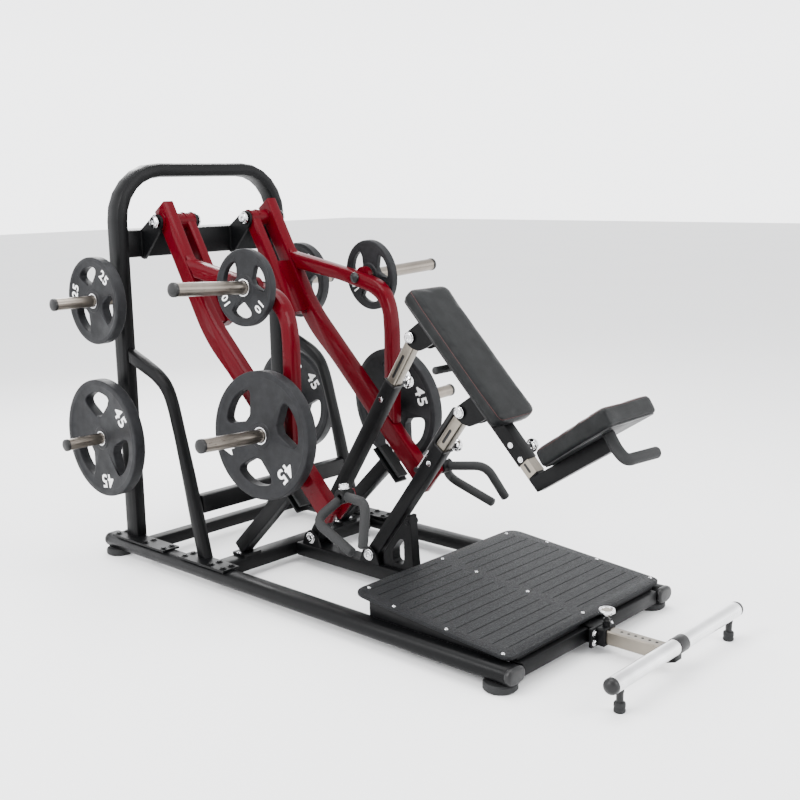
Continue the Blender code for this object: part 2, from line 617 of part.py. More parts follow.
def knob(name, at, way, reach=0.030, radius=KNOB_R):
    """A spring pin with its round pull knob."""
    at, way = Vector(at), Vector(way).normalized()
    pin = rod(at - way * 0.010, at + way * reach, 0.006, 12)
    head = rod(at + way * (reach - 0.004), at + way * (reach + 0.020), radius, 16, 0.004)
    return node(name, combined(pin, [head]), "grip", at)


def knobs():
    for name, line, along in (("rear_strut_knob", STRUT_A, 0.750), ("front_strut_knob", STRUT_B, 0.541)):
        (x0, z0), (x1, z1) = line
        way = Vector((x1 - x0, 0, z1 - z0)).normalized()
        knob(name, Vector((x0, 0.0355, z0)) + way * along, (0, 1, 0))
    x, z = on_pad(0.721, 1.598)
    knob("seat_pull_knob", (x, 0.0355, z), (0, 1, 0), 0.024)
    knob("foot_bar_knob", (KNOB_X + 0.010, 0, 0.0990), (0, 0, 1), 0.020, 0.026)


clear_scene()
rails_and_feet()
cross_members()
centre_spine()
rear_hoop()
braces()
pivot_crossbar()
storage()
arms()
stops()
foot_deck()
strut("rear_strut", STRUT_A, 0.762)
strut("front_strut", STRUT_B, 0.551)
inner_strut("rear_strut", STRUT_A, 0.762)
inner_strut("front_strut", STRUT_B, 0.551)
pad_beam()
pad_back_grip()
chest_pad()
seat_tube()
seat_cushion()
seat_grip()
front_receiver()
foot_bar()
knobs()
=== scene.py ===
"""Looks of the chest-supported row machine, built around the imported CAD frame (metres, +Z up)."""

import json
import math

import bmesh
import bpy
from mathutils import Matrix, Vector


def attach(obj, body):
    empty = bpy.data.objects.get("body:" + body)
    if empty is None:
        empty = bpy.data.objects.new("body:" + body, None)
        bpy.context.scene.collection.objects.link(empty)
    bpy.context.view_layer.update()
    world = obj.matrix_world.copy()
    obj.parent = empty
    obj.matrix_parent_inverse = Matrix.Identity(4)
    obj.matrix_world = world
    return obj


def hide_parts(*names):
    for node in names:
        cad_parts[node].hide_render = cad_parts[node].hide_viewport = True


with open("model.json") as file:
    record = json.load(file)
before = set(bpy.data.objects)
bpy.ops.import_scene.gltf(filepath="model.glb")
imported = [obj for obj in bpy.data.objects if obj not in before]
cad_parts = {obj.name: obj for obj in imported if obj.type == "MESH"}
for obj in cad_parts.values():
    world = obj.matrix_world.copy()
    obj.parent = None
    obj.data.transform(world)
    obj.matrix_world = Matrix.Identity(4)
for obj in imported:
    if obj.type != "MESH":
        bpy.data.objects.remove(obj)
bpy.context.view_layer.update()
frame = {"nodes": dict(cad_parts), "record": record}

CENTRE_X = 1.0465
SHARP = math.radians(32)
RAIL_Y = 0.418
RAIL_BOLTS_Y, RAIL_LUG_TOP = (0.398, 0.436), 0.0886
PIVOT = (0.200, 1.301)
STORE_45 = (0.063, 0.514, 0.494, 0.664)
STORE_25 = (0.096, 0.531, 1.021, 0.693)
ARM_45 = (0.815, 0.3635, 0.5825, 0.636)
ARM_10 = (0.715, 0.328, 1.085, 0.640)
ARM_TILT, ARM_TOE = math.radians(3.5), math.radians(4.5)
PEG_R, HORN_R, BORE_R = 0.0215, 0.0235, 0.0255
STRUT_A = ((0.700, 0.110), (1.222, 0.920))
STRUT_B = ((1.006, 0.110), (1.437, 0.690))
CUT_A, CUT_B = 0.762, 0.551
PAD_T, PAD_N = (0.6947, -0.7193), (0.7193, 0.6947)
SEAT_T, SEAT_N = (0.8387, 0.5446), (-0.5446, 0.8387)
DECK_X0, DECK_X1, DECK_Y, DECK_Z0, DECK_FALL = 1.305, 1.930, 0.425, 0.155, 0.0873
BAR_X, BAR_Z, BAR_R, STEM_Y = 2.231, 0.090, 0.024, 0.3214
GRIP_X, GRIP_Z = 1.118, 0.400
KNOB_FACE = 0.0355
FOOT_KNOB_X, FOOT_KNOB_Z = 1.986, 0.0990
SIDES = ((-1, "left"), (1, "right"))
PAD_UP, SEAT_UP = Vector((PAD_N[0], 0, PAD_N[1])), Vector((SEAT_N[0], 0, SEAT_N[1]))


def here(x, y, z):
    """A place measured from the rear feet, in the frame's own coordinates."""
    return Vector((x - CENTRE_X, y, z))


def on_pad(s, n, y=0.0):
    return here(PAD_T[0] * s + PAD_N[0] * n, y, PAD_T[1] * s + PAD_N[1] * n)


def on_seat(g, m, y=0.0):
    return here(SEAT_T[0] * g + SEAT_N[0] * m, y, SEAT_T[1] * g + SEAT_N[1] * m)


def on_deck(x, y, up=0.0):
    return here(x, y, DECK_Z0 - (x - 1.326) * DECK_FALL + up)


def strut_axis(line):
    """A strut's foot and the way up it."""
    (x0, z0), (x1, z1) = line
    return here(x0, 0, z0), Vector((x1 - x0, 0, z1 - z0)).normalized()


def oblong(x0, x1, wide):
    """The corners of an oblong that lies evenly on both sides of the middle."""
    return [(x0, -wide), (x1, -wide), (x1, wide), (x0, wide)]


# ---------------------------------------------------------------- materials


class Paint:
    """A node material: one Principled shader with texture nodes feeding colour, roughness and bump."""

    def __init__(self, name, colour, rough, metal=0.0):
        self.mat = bpy.data.materials.new(name)
        self.mat.use_nodes = True
        self.tree = self.mat.node_tree
        self.shader = self.tree.nodes["Principled BSDF"]
        self.shader.inputs["Base Color"].default_value = (*colour, 1)
        self.shader.inputs["Roughness"].default_value = rough
        self.shader.inputs["Metallic"].default_value = metal
        self.where = self.tree.nodes.new("ShaderNodeTexCoord").outputs["Object"]
        self.bump = None

    def add(self, kind):
        return self.tree.nodes.new(kind)

    def link(self, a, b):
        self.tree.links.new(a, b)

    def stretched(self, scale):
        node = self.add("ShaderNodeMapping")
        node.inputs["Scale"].default_value = scale
        self.link(self.where, node.inputs["Vector"])
        return node.outputs["Vector"]

    def noise(self, scale, detail=3.0, where=None):
        node = self.add("ShaderNodeTexNoise")
        node.inputs["Scale"].default_value = scale
        node.inputs["Detail"].default_value = detail
        self.link(where or self.where, node.inputs["Vector"])
        return node.outputs["Fac"]

    def cells(self, scale, feature="F1"):
        node = self.add("ShaderNodeTexVoronoi")
        node.feature = feature
        node.inputs["Scale"].default_value = scale
        self.link(self.where, node.inputs["Vector"])
        return node.outputs["Distance"]

    def ramp(self, value, low, high, a, b):
        node = self.add("ShaderNodeMapRange")
        for key, number in (("From Min", low), ("From Max", high), ("To Min", a), ("To Max", b)):
            node.inputs[key].default_value = number
        self.link(value, node.inputs["Value"])
        return node.outputs["Result"]

    def rough_between(self, value, a, b):
        self.link(self.ramp(value, 0.3, 0.7, a, b), self.shader.inputs["Roughness"])

    def tint(self, value, low, high, first, second):
        node = self.add("ShaderNodeMix")
        node.data_type = "RGBA"
        self.link(self.ramp(value, low, high, 0, 1), node.inputs["Factor"])
        node.inputs["A"].default_value = (*first, 1)
        node.inputs["B"].default_value = (*second, 1)
        self.link(node.outputs["Result"], self.shader.inputs["Base Color"])

    def raised(self, value, depth, strength=1.0):
        node = self.add("ShaderNodeBump")
        node.inputs["Distance"].default_value = depth
        node.inputs["Strength"].default_value = strength
        self.link(value, node.inputs["Height"])
        if self.bump:
            self.link(self.bump, node.inputs["Normal"])
        self.bump = node.outputs["Normal"]
        self.link(self.bump, self.shader.inputs["Normal"])

    def shine(self, level):
        self.shader.inputs["Specular IOR Level"].default_value = level

    def coat(self, weight, rough):
        self.shader.inputs["Coat Weight"].default_value = weight
        self.shader.inputs["Coat Roughness"].default_value = rough


def powder_black():
    """Satin black powder coat: a fine orange-peel grain, a little cloudy in its shine."""
    p = Paint("powder_black", (0.0024, 0.0025, 0.0028), 0.40)
    p.rough_between(p.noise(9), 0.32, 0.46)
    p.tint(p.noise(320, 2), 0.35, 0.7, (0.0018, 0.0019, 0.0021), (0.0034, 0.0035, 0.0039))
    p.raised(p.noise(900, 2), 0.0003, 0.3)
    p.shine(0.10)
    return p.mat


def candy_red():
    """Deep metallic red under a clear coat, with faint flake and orange peel."""
    p = Paint("candy_red", (0.060, 0.0001, 0.0030), 0.28)
    p.tint(p.noise(2600, 1), 0.4, 0.62, (0.046, 0.0001, 0.0024), (0.074, 0.0002, 0.0038))
    p.rough_between(p.noise(14), 0.26, 0.36)
    p.raised(p.noise(140, 1), 0.0004, 0.05)
    p.shine(0.04)
    p.coat(0.10, 0.04)
    return p.mat


def plate_rubber():
    """Charcoal moulded rubber: fine pebble, faint scuffs."""
    p = Paint("plate_rubber", (0.0066, 0.0068, 0.0079), 0.55)
    p.tint(p.noise(38, 5), 0.35, 0.72, (0.0056, 0.0058, 0.0067), (0.0094, 0.0098, 0.0112))
    p.rough_between(p.noise(22, 4), 0.44, 0.60)
    p.raised(p.noise(1300, 2), 0.0002, 0.5)
    p.shine(0.16)
    return p.mat


def nickel(name, colour, along, rough):
    """Satin nickel plating with drawn lines along the piece."""
    p = Paint(name, colour, 0.3, 1.0)
    lines = p.noise(1.0, 4, p.stretched(along))
    p.rough_between(lines, *rough)
    dark = tuple(c * 0.78 for c in colour)
    p.tint(p.noise(11, 3), 0.35, 0.7, dark, colour)
    p.raised(lines, 0.0002, 0.12)
    p.shader.inputs["Anisotropic"].default_value = 0.3
    return p.mat


def chrome():
    """Bright plating with very slight ripple."""
    p = Paint("chrome", (0.62, 0.62, 0.63), 0.08, 1.0)
    p.rough_between(p.noise(60), 0.06, 0.16)
    p.raised(p.noise(90, 1), 0.0003, 0.05)
    return p.mat


def vinyl():
    """Black upholstery vinyl: small leather-like cells, soft sheen, slightly worn high spots."""
    p = Paint("vinyl", (0.0050, 0.0054, 0.0056), 0.46)
    p.tint(p.noise(26, 4), 0.35, 0.7, (0.0042, 0.0046, 0.0048), (0.0076, 0.0082, 0.0085))
    p.rough_between(p.noise(12, 3), 0.38, 0.52)
    p.raised(p.cells(520, "DISTANCE_TO_EDGE"), 0.0005, 0.45)
    p.raised(p.noise(60, 3), 0.0012, 0.18)
    p.shine(0.12)
    return p.mat


def grip_rubber():
    """Dull textured grip rubber, greyer than the frame."""
    p = Paint("grip_rubber", (0.0105, 0.0108, 0.0112), 0.68)
    p.tint(p.noise(500, 3), 0.35, 0.7, (0.0078, 0.0080, 0.0083), (0.0155, 0.0160, 0.0165))
    p.raised(p.noise(850, 2), 0.0004, 0.6)
    p.shine(0.25)
    return p.mat


def black_plastic():
    """Moulded black plastic of caps and plugs."""
    p = Paint("black_plastic", (0.0034, 0.0034, 0.0037), 0.38)
    p.rough_between(p.noise(70, 3), 0.30, 0.44)
    p.raised(p.noise(1500, 1), 0.0002, 0.3)
    p.shine(0.28)
    return p.mat


def deck_grit():
    """Dark coarse anti-slip coat: pale specks on a rough black ground."""
    p = Paint("deck_grit", (0.0070, 0.0074, 0.0082), 0.5)
    grains = p.cells(330)
    p.tint(grains, 0.12, 0.55, (0.0165, 0.0175, 0.0195), (0.0042, 0.0044, 0.0049))
    p.rough_between(p.noise(240, 3), 0.36, 0.6)
    p.raised(grains, 0.0012, 0.7)
    p.raised(p.noise(900, 2), 0.0004, 0.5)
    p.shine(0.10)
    return p.mat


def number_white():
    """Moulded-in off-white of the weight figures."""
    p = Paint("number_white", (0.78, 0.78, 0.78), 0.5)
    p.tint(p.noise(300, 3), 0.3, 0.7, (0.70, 0.70, 0.70), (0.84, 0.84, 0.84))
    p.raised(p.noise(900, 2), 0.0002, 0.3)
    return p.mat


def thread_red():
    """Dark red twisted sewing thread."""
    p = Paint("thread_red", (0.050, 0.007, 0.006), 0.75)
    p.tint(p.noise(1400, 2), 0.35, 0.65, (0.030, 0.005, 0.0045), (0.072, 0.010, 0.009))
    p.raised(p.noise(2000, 1), 0.0002, 0.5)
    return p.mat


def pale_floor():
    p = Paint("pale_floor", (0.94, 0.94, 0.94), 0.85)
    p.tint(p.noise(0.7, 2), 0.3, 0.7, (0.93, 0.93, 0.935), (0.95, 0.95, 0.95))
    return p.mat


BLACK = powder_black()
RED = candy_red()
RUBBER = plate_rubber()
NICKEL_Y = nickel("nickel_pegs", (0.235, 0.208, 0.178), (400, 6, 400), (0.26, 0.38))
NICKEL_X = nickel("nickel_tubes", (0.235, 0.212, 0.178), (30, 400, 30), (0.26, 0.38))
SLEEVE = nickel("polished_sleeves", (0.90, 0.905, 0.91), (400, 5, 400), (0.16, 0.26))
CHROME = chrome()
VINYL = vinyl()
GRIP = grip_rubber()
PLASTIC = black_plastic()
GRIT = deck_grit()
WHITE = number_white()
THREAD = thread_red()

MATERIALS = {"frame": BLACK, "arm": RED, "nickel": NICKEL_Y, "bar": SLEEVE, "plate": RUBBER}
MATERIALS.update({"grip": GRIP, "knob": CHROME, "pad": VINYL, "deck": GRIT})
SLOTS = {material.name: slot for slot, material in MATERIALS.items()}
SLOTS.update({PLASTIC.name: "frame", NICKEL_X.name: "nickel", WHITE.name: "plate", THREAD.name: "pad"})


# ---------------------------------------------------------------- mesh tools


def added(name, data):
    """A new object that holds the data, in the scene."""
    made = bpy.data.objects.new(name, data)
    bpy.context.scene.collection.objects.link(made)
    return made


def mesh_of(name, bm):
    """The mesh of a bmesh, its faces turned outward."""
    bmesh.ops.recalc_face_normals(bm, faces=bm.faces)
    mesh = bpy.data.meshes.new(name)
    bm.to_mesh(mesh)
    bm.free()
    return mesh


def evaluated(obj):
    """The object's mesh with its modifiers applied."""
    bpy.context.view_layer.update()
    graph = bpy.context.evaluated_depsgraph_get()
    return bpy.data.meshes.new_from_object(obj.evaluated_get(graph))


def piece_of(name, bm, body, material, sharp=SHARP):
    """Turns a bmesh into a named piece that rides on a body."""
    return piece_from(name, mesh_of(name, bm), body, material, sharp)


def piece_from(name, mesh, body, material, sharp=SHARP):
    """The same from a mesh."""
    mesh.name = name
    mesh.materials.clear()
    mesh.materials.append(material)
    for face in mesh.polygons:
        face.use_smooth = True
    mesh.set_sharp_from_angle(angle=sharp)
    made = added(name, mesh)
    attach(made, body)
    return made


def axes_of(way):
    way = Vector(way).normalized()
    helper = Vector((0, 1, 0)) if abs(way.y) < 0.9 else Vector((0, 0, 1))
    across = way.cross(helper).normalized()
    return way, across, way.cross(across).normalized()


def turned(bm, profile, at, way, sides=32):
    """Adds a lathe-turned solid: profile is (radius, distance along the axis), ends on the axis."""
    way, across, up = axes_of(way)
    rings = []
    for radius, along in profile:
        centre = at + way * along
        if radius < 1e-6:
            rings.append([bm.verts.new(centre)])
            continue
        ring = []
        for k in range(sides):
            a = 2 * math.pi * k / sides
            ring.append(bm.verts.new(centre + (across * math.cos(a) + up * math.sin(a)) * radius))
        rings.append(ring)
    for low, high in zip(rings, rings[1:]):
        for k in range(sides):
            j = (k + 1) % sides
            if len(low) == 1:
                bm.faces.new((low[0], high[j], high[k]))
            elif len(high) == 1:
                bm.faces.new((low[k], low[j], high[0]))
            else:
                bm.faces.new((low[k], low[j], high[j], high[k]))
    if len(rings[0]) > 1 and len(rings[-1]) > 1:
        for k in range(sides):
            j = (k + 1) % sides
            bm.faces.new((rings[-1][k], rings[-1][j], rings[0][j], rings[0][k]))


def lathe(name, profile, at, way, body, material, sides=32):
    bm = bmesh.new()
    turned(bm, profile, Vector(at), way, sides)
    return piece_of(name, bm, body, material)


def smooth_path(points, bend, steps=8):
    """The points with each inner corner turned into a curve of the reach given."""
    line = [points[0]]
    for k in range(1, len(points) - 1):
        before, after = points[k - 1] - points[k], points[k + 1] - points[k]
        reach = min(bend, before.length * 0.48, after.length * 0.48)
        a, b = points[k] + before.normalized() * reach, points[k] + after.normalized() * reach
        for j in range(steps + 1):
            t = j / steps
            line.append(a * (1 - t) ** 2 + points[k] * 2 * t * (1 - t) + b * t * t)
    line.append(points[-1])
    return line


def swept(bm, line, radius, sides=20, cap=0.5):
    """Adds a round bar along a line, with rounded ends."""
    way = (line[1] - line[0]).normalized()
    _, across, _ = axes_of(way)
    rings = []

    def ring_at(centre, along, size):
        nonlocal across
        across = (across - along * across.dot(along)).normalized()
        up = along.cross(across)
        turn = [2 * math.pi * j / sides for j in range(sides)]
        spots = [centre + (across * math.cos(a) + up * math.sin(a)) * size for a in turn]
        rings.append([bm.verts.new(spot) for spot in spots])

    def narrowed(t):
        return radius * (0.62 + 0.38 * math.sin(t * math.pi / 2))

    for t in (0, 0.35, 0.7):
        ring_at(line[0] + way * radius * cap * (t - 1) * 0.6, way, narrowed(t))
    for k, centre in enumerate(line):
        into = (line[k] - line[k - 1]).normalized() if k else way
        out = (line[k + 1] - line[k]).normalized() if k < len(line) - 1 else into
        ring_at(centre, (into + out).normalized(), radius)
    end = (line[-1] - line[-2]).normalized()
    for t in (0.7, 0.35, 0):
        ring_at(line[-1] + end * radius * cap * (1 - t) * 0.6, end, narrowed(t))
    for low, high in zip(rings, rings[1:]):
        for j in range(sides):
            bm.faces.new((low[j], low[(j + 1) % sides], high[(j + 1) % sides], high[j]))
    bm.faces.new(rings[0])
    bm.faces.new(rings[-1])


def prism(bm, ring, shift, edge=0.0, steps=2):
    """Adds an outline pushed along a vector, with its rims rounded."""
    face = bm.faces.new([bm.verts.new(c) for c in ring])
    made = bmesh.ops.extrude_face_region(bm, geom=[face])
    moved = [v for v in made["geom"] if isinstance(v, bmesh.types.BMVert)]
    bmesh.ops.translate(bm, verts=moved, vec=shift)
    if edge:
        near = {e for v in set(moved) | set(face.verts) for e in v.link_edges}
        rims = [e for e in near if (e.verts[0] in moved) == (e.verts[1] in moved)]
        bmesh.ops.bevel(bm, geom=rims, offset=edge, segments=steps, profile=0.5, affect="EDGES")


def block(bm, low, high, edge, steps):
    """Adds a box with every edge rounded."""
    made = bmesh.ops.create_cube(bm, size=1.0)["verts"]
    low, high = Vector(low), Vector(high)
    for v in made:
        v.co = (low + high) / 2 + Vector([v.co[k] * (high - low)[k] for k in range(3)])
    edges = list({e for v in made for e in v.link_edges})
    bmesh.ops.bevel(bm, geom=edges, offset=edge, segments=steps, profile=0.5, affect="EDGES")


def carved(base, cutters):
    """The mesh left when the cutters are taken from the base, all as bmeshes."""
    made = [added("tool", mesh_of("tool", bm)) for bm in [base] + cutters]
    for tool in made[1:]:
        change = made[0].modifiers.new("cut", "BOOLEAN")
        change.object = tool
        change.operation = "DIFFERENCE"
        change.solver = "EXACT"
    mesh = evaluated(made[0])
    for tool in made:
        bpy.data.objects.remove(tool)
    return mesh


def arc_corner(outline, radii, steps=6):
    """An outline of 2-D points with its corners rounded."""
    made = []
    for k, point in enumerate(outline):
        corner = Vector(point)
        before = Vector(outline[k - 1]) - corner
        after = Vector(outline[(k + 1) % len(outline)]) - corner
        reach = radii[k] / math.tan(before.angle(after) / 2)
        reach = min(reach, before.length * 0.49, after.length * 0.49)
        a, b = corner + before.normalized() * reach, corner + after.normalized() * reach
        for j in range(steps + 1):
            t = j / steps
            made.append(a * (1 - t) ** 2 + corner * 2 * t * (1 - t) + b * t * t)
    return made


# ---------------------------------------------------------------- CAD nodes kept as they are


def smooth_shading():
    """A modifier tree that drops imported normals and shades smooth, leaving the mesh itself alone."""
    tree = bpy.data.node_groups.new("smooth_shading", "GeometryNodeTree")
    tree.interface.new_socket("Geometry", in_out="INPUT", socket_type="NodeSocketGeometry")
    tree.interface.new_socket("Geometry", in_out="OUTPUT", socket_type="NodeSocketGeometry")
    start, end = tree.nodes.new("NodeGroupInput"), tree.nodes.new("NodeGroupOutput")
    drop = tree.nodes.new("GeometryNodeRemoveAttribute")
    drop.inputs["Name"].default_value = "custom_normal"
    smooth = tree.nodes.new("GeometryNodeSetShadeSmooth")
    tree.links.new(start.outputs[0], drop.inputs["Geometry"])
    tree.links.new(drop.outputs["Geometry"], smooth.inputs["Geometry"])
    tree.links.new(smooth.outputs["Geometry"], end.inputs[0])
    return tree


def dress_frame_nodes():
    """Gives each CAD node its material and, by modifiers only, smooth shading between its real edges."""
    shading = smooth_shading()
    slots = {row["node"]: row["material_slot"] for row in frame["record"]["subparts"]}
    for name, obj in frame["nodes"].items():
        material = MATERIALS[slots[name]]
        if name.endswith("inner_tube") or name == "foot_bar_slide":
            material = NICKEL_X
        for slot in obj.material_slots:
            slot.material = material
        obj.modifiers.new("shading", "NODES").node_group = shading
        weld = obj.modifiers.new("weld", "WELD")
        weld.merge_threshold = 0.00002
        split = obj.modifiers.new("edges", "EDGE_SPLIT")
        split.split_angle = SHARP


# ---------------------------------------------------------------- weight plates


def fan_hole(radius, angle, deep):
    """A cutter for one hand hole: a rounded fan, wide toward the rim."""
    inner, outer = radius * 0.38, radius * 0.79
    spread = math.radians(33)
    near = spread * 0.32
    corners = [(inner, -near), (outer, -spread), (outer * 1.05, 0.0), (outer, spread), (inner, near)]
    flat = [(r * math.cos(angle + a), r * math.sin(angle + a)) for r, a in corners]
    flat = arc_corner(flat, [0.012, 0.026, 0.18, 0.026, 0.012], 7)
    bm = bmesh.new()
    prism(bm, [Vector((p.x, -deep, p.y)) for p in flat], (0, 2 * deep, 0))
    return bm


def plate_mesh(radius, thick, bore, holes):
    """A weight plate about the Y axis: raised rounded rim, sunk web, hub boss, hand holes."""
    half, sunk, soft = thick / 2, thick / 2 - 0.0028, 0.0045
    rim = radius * 0.90
    outer = [(bore, half - 0.001), (bore + 0.001, half), (bore + 0.018, half), (bore + 0.022, sunk)]
    outer += [(rim - 0.004, sunk), (rim, half - 0.0006), (rim + 0.003, half), (radius - soft, half)]
    for k in range(1, 5):
        a = math.pi / 2 * k / 4
        outer.append((radius - soft + soft * math.sin(a), half - soft + soft * math.cos(a)))
    profile = outer + [(r, -h) for r, h in reversed(outer)]
    bm = bmesh.new()
    turned(bm, profile, Vector((0, 0, 0)), (0, 1, 0), 96)
    mesh = carved(bm, [fan_hole(radius, math.radians(a), thick) for a in holes])
    bm = bmesh.new()
    bm.from_mesh(mesh)
    rims = []
    for edge in bm.edges:
        if len(edge.link_faces) != 2:
            continue
        mid = (edge.verts[0].co + edge.verts[1].co) / 2
        flat = math.hypot(mid.x, mid.z)
        sharp = edge.calc_face_angle(0) > math.radians(50)
        if sharp and radius * 0.30 < flat < radius * 0.88 and abs(abs(mid.y) - sunk) < 0.0006:
            rims.append(edge)
    bmesh.ops.bevel(bm, geom=rims, offset=0.0035, segments=3, profile=0.5, affect="EDGES")
    bm.to_mesh(mesh)
    bm.free()
    return mesh, sunk


def figure_mesh(words, size):
    """Bold flat figures, a little thick, as a mesh in the X-Y plane."""
    text = bpy.data.curves.new("figures", "FONT")
    text.body = words
    text.size = size
    text.align_x = "CENTER"
    text.align_y = "CENTER"
    text.extrude = 0.0004
    text.offset = size * 0.022
    text.resolution_u = 6
    text.space_character = 1.12
    carrier = added("figures", text)
    mesh = evaluated(carrier)
    bpy.data.objects.remove(carrier)
    return mesh


def put_figures(name, words, centre, turn, face, y_face, radius, body):
    """Places figures on one face of a plate, their tops toward the rim."""
    mesh = figure_mesh(words, radius * 0.315)
    out = Vector((math.cos(turn), 0, math.sin(turn)))
    normal = Vector((0, face, 0))
    right = out.cross(normal)
    place = Matrix((right, out, normal)).transposed().to_4x4()
    place.translation = Vector((0, face * y_face, 0)) + out * radius * 0.725
    mesh.transform(centre @ place)
    piece_from(name, mesh, body, WHITE)


def weight_plates():
    store_bore = PEG_R + 0.0012
    kinds = (
        ("45", "storage", STORE_45, 0.225, 0.045, store_bore, (7, 7), 0.0, 0.0),
        ("25", "storage", STORE_25, 0.161, 0.040, store_bore, (15, 15), 0.0, 0.0),
        ("45", "arm", ARM_45, 0.225, 0.045, BORE_R, (-70, -10), ARM_TILT, ARM_TOE),
        ("10", "arm", ARM_10, 0.134, 0.028, BORE_R, (-65, -65), ARM_TILT, ARM_TOE),
    )
    figures = {"storage_45": (36, 278), "storage_25": (48, 165)}
    figures.update({"arm_45": (316, 198), "arm_10": (322, 210)})
    for size, where, spot, radius, thick, bore, turned_by, tilt, toe in kinds:
        x, face, z, _ = spot
        for (side, word), turn_by in zip(SIDES, turned_by):
            mesh, sunk = plate_mesh(radius, thick, bore, [90 + 120 * k + turn_by for k in range(3)])
            name = f"plate_{size}_{where}_{word}"
            lead, rise = math.tan(toe) * thick / 2, math.tan(tilt) * thick / 2
            mid = here(x - lead, side * (face - thick / 2), z - rise)
            lean = Matrix.Rotation(-side * toe, 4, "Z") @ Matrix.Rotation(side * tilt, 4, "X")
            place = Matrix.Translation(mid) @ lean
            mesh.transform(place)
            plate = piece_from(name + "_body", mesh, name, RUBBER)
            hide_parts(name)
            turns = figures[f"{where}_{size}"]
            if (size, where, side) == ("45", "arm", 1):
                turns = (20, 260)
            for k, turn in enumerate(turns):
                for facing, tag in ((-1, "a"), (1, "b")):
                    label = f"{name}_figures_{k}{tag}"
                    put_figures(label, size, place, math.radians(turn), facing, sunk + 0.0002, radius, name)
            for facing, tag in ((-1, "a"), (1, "b")):
                out = thick / 2
                ring = [(bore, out - 0.004), (bore + 0.0005, out + 0.0010), (bore + 0.0035, out + 0.0012)]
                ring += [(bore + 0.0050, out + 0.0006), (bore + 0.0050, out - 0.003)]
                bm = bmesh.new()
                turned(bm, ring, Vector((0, 0, 0)), (0, facing, 0), 40)
                bmesh.ops.transform(bm, matrix=place, verts=bm.verts)
                piece_of(f"{name}_bush_{tag}", bm, name, CHROME)


def peg_ends():
    """Black caps over the ends of the weight pegs, and the dark plugs behind the arm pegs."""
    kinds = (
        ("storage_horn_45", STORE_45, PEG_R, 0.0, 0.0),
        ("storage_horn_25", STORE_25, PEG_R, 0.0, 0.0),
        ("arm_horn_45", ARM_45, HORN_R, ARM_TILT, ARM_TOE),
        ("arm_horn_10", ARM_10, HORN_R, ARM_TILT, ARM_TOE),
    )
    arm_face = 0.2297
    for tag, (x, face, z, end), r, tilt, toe in kinds:
        ahead = Vector((math.tan(toe), 0, math.tan(tilt)))
        for side, word in SIDES:
            way = Vector((ahead.x, side, ahead.z)).normalized()
            at = here(x, side * end, z) + ahead * (end - face)
            owner = f"arm_{word}" if tilt else "base_frame"
            cap = [(0, -0.0005), (r - 0.004, -0.0005), (r + 0.0004, -0.0035), (r + 0.0012, -0.009)]
            cap += [(r + 0.0012, -0.001), (r + 0.0002, 0.0022), (r * 0.80, 0.0042), (r * 0.45, 0.0052)]
            lathe(f"{tag}_{word}_cap", cap + [(0, 0.0054)], at, way, owner, PLASTIC, 28)
            if tilt:
                root = here(x, side * arm_face, z) - ahead * (face - arm_face)
                plug = [(0, 0), (0.020, 0), (0.021, 0.002), (0.019, 0.008), (0.012, 0.012), (0, 0.013)]
                lathe(f"{tag}_{word}_plug", plug, root, (0, -side, 0), owner, PLASTIC, 28)


# ---------------------------------------------------------------- fasteners


def cap_bolt(name, at, way, body, r=0.024, tall=0.010):
    """A chrome domed pivot cap on its washer."""
    washer = [(0, 0), (r * 1.12, 0), (r * 1.12, 0.002), (r * 1.05, 0.0026), (r, 0.0027)]
    dome = [(r * 0.98, tall * 0.75), (r * 0.90, tall * 0.93), (r * 0.78, tall)]
    socket = [(r * 0.42, tall), (r * 0.38, tall * 0.9), (r * 0.36, tall * 0.45), (0, tall * 0.4)]
    lathe(name, washer + dome + socket, at, way, body, CHROME)


def hex_bolt(bm, at, way, r=0.009, tall=0.006):
    """Adds a washer and a hex head with a chamfered top."""
    turned(bm, [(0, 0), (r * 1.5, 0), (r * 1.5, 0.0014), (r * 1.42, 0.0018), (0, 0.0018)], at, way, 24)
    profile = [(0, 0.0017), (r, 0.0017), (r, tall * 0.85), (r * 0.86, tall), (0, tall)]
    turned(bm, profile, at, way, 6)


def bolt_set(name, spots, body, material=CHROME, r=0.009, tall=0.006):
    bm = bmesh.new()
    for at, way in spots:
        hex_bolt(bm, at, Vector(way), r, tall)
    piece_of(name, bm, body, material)


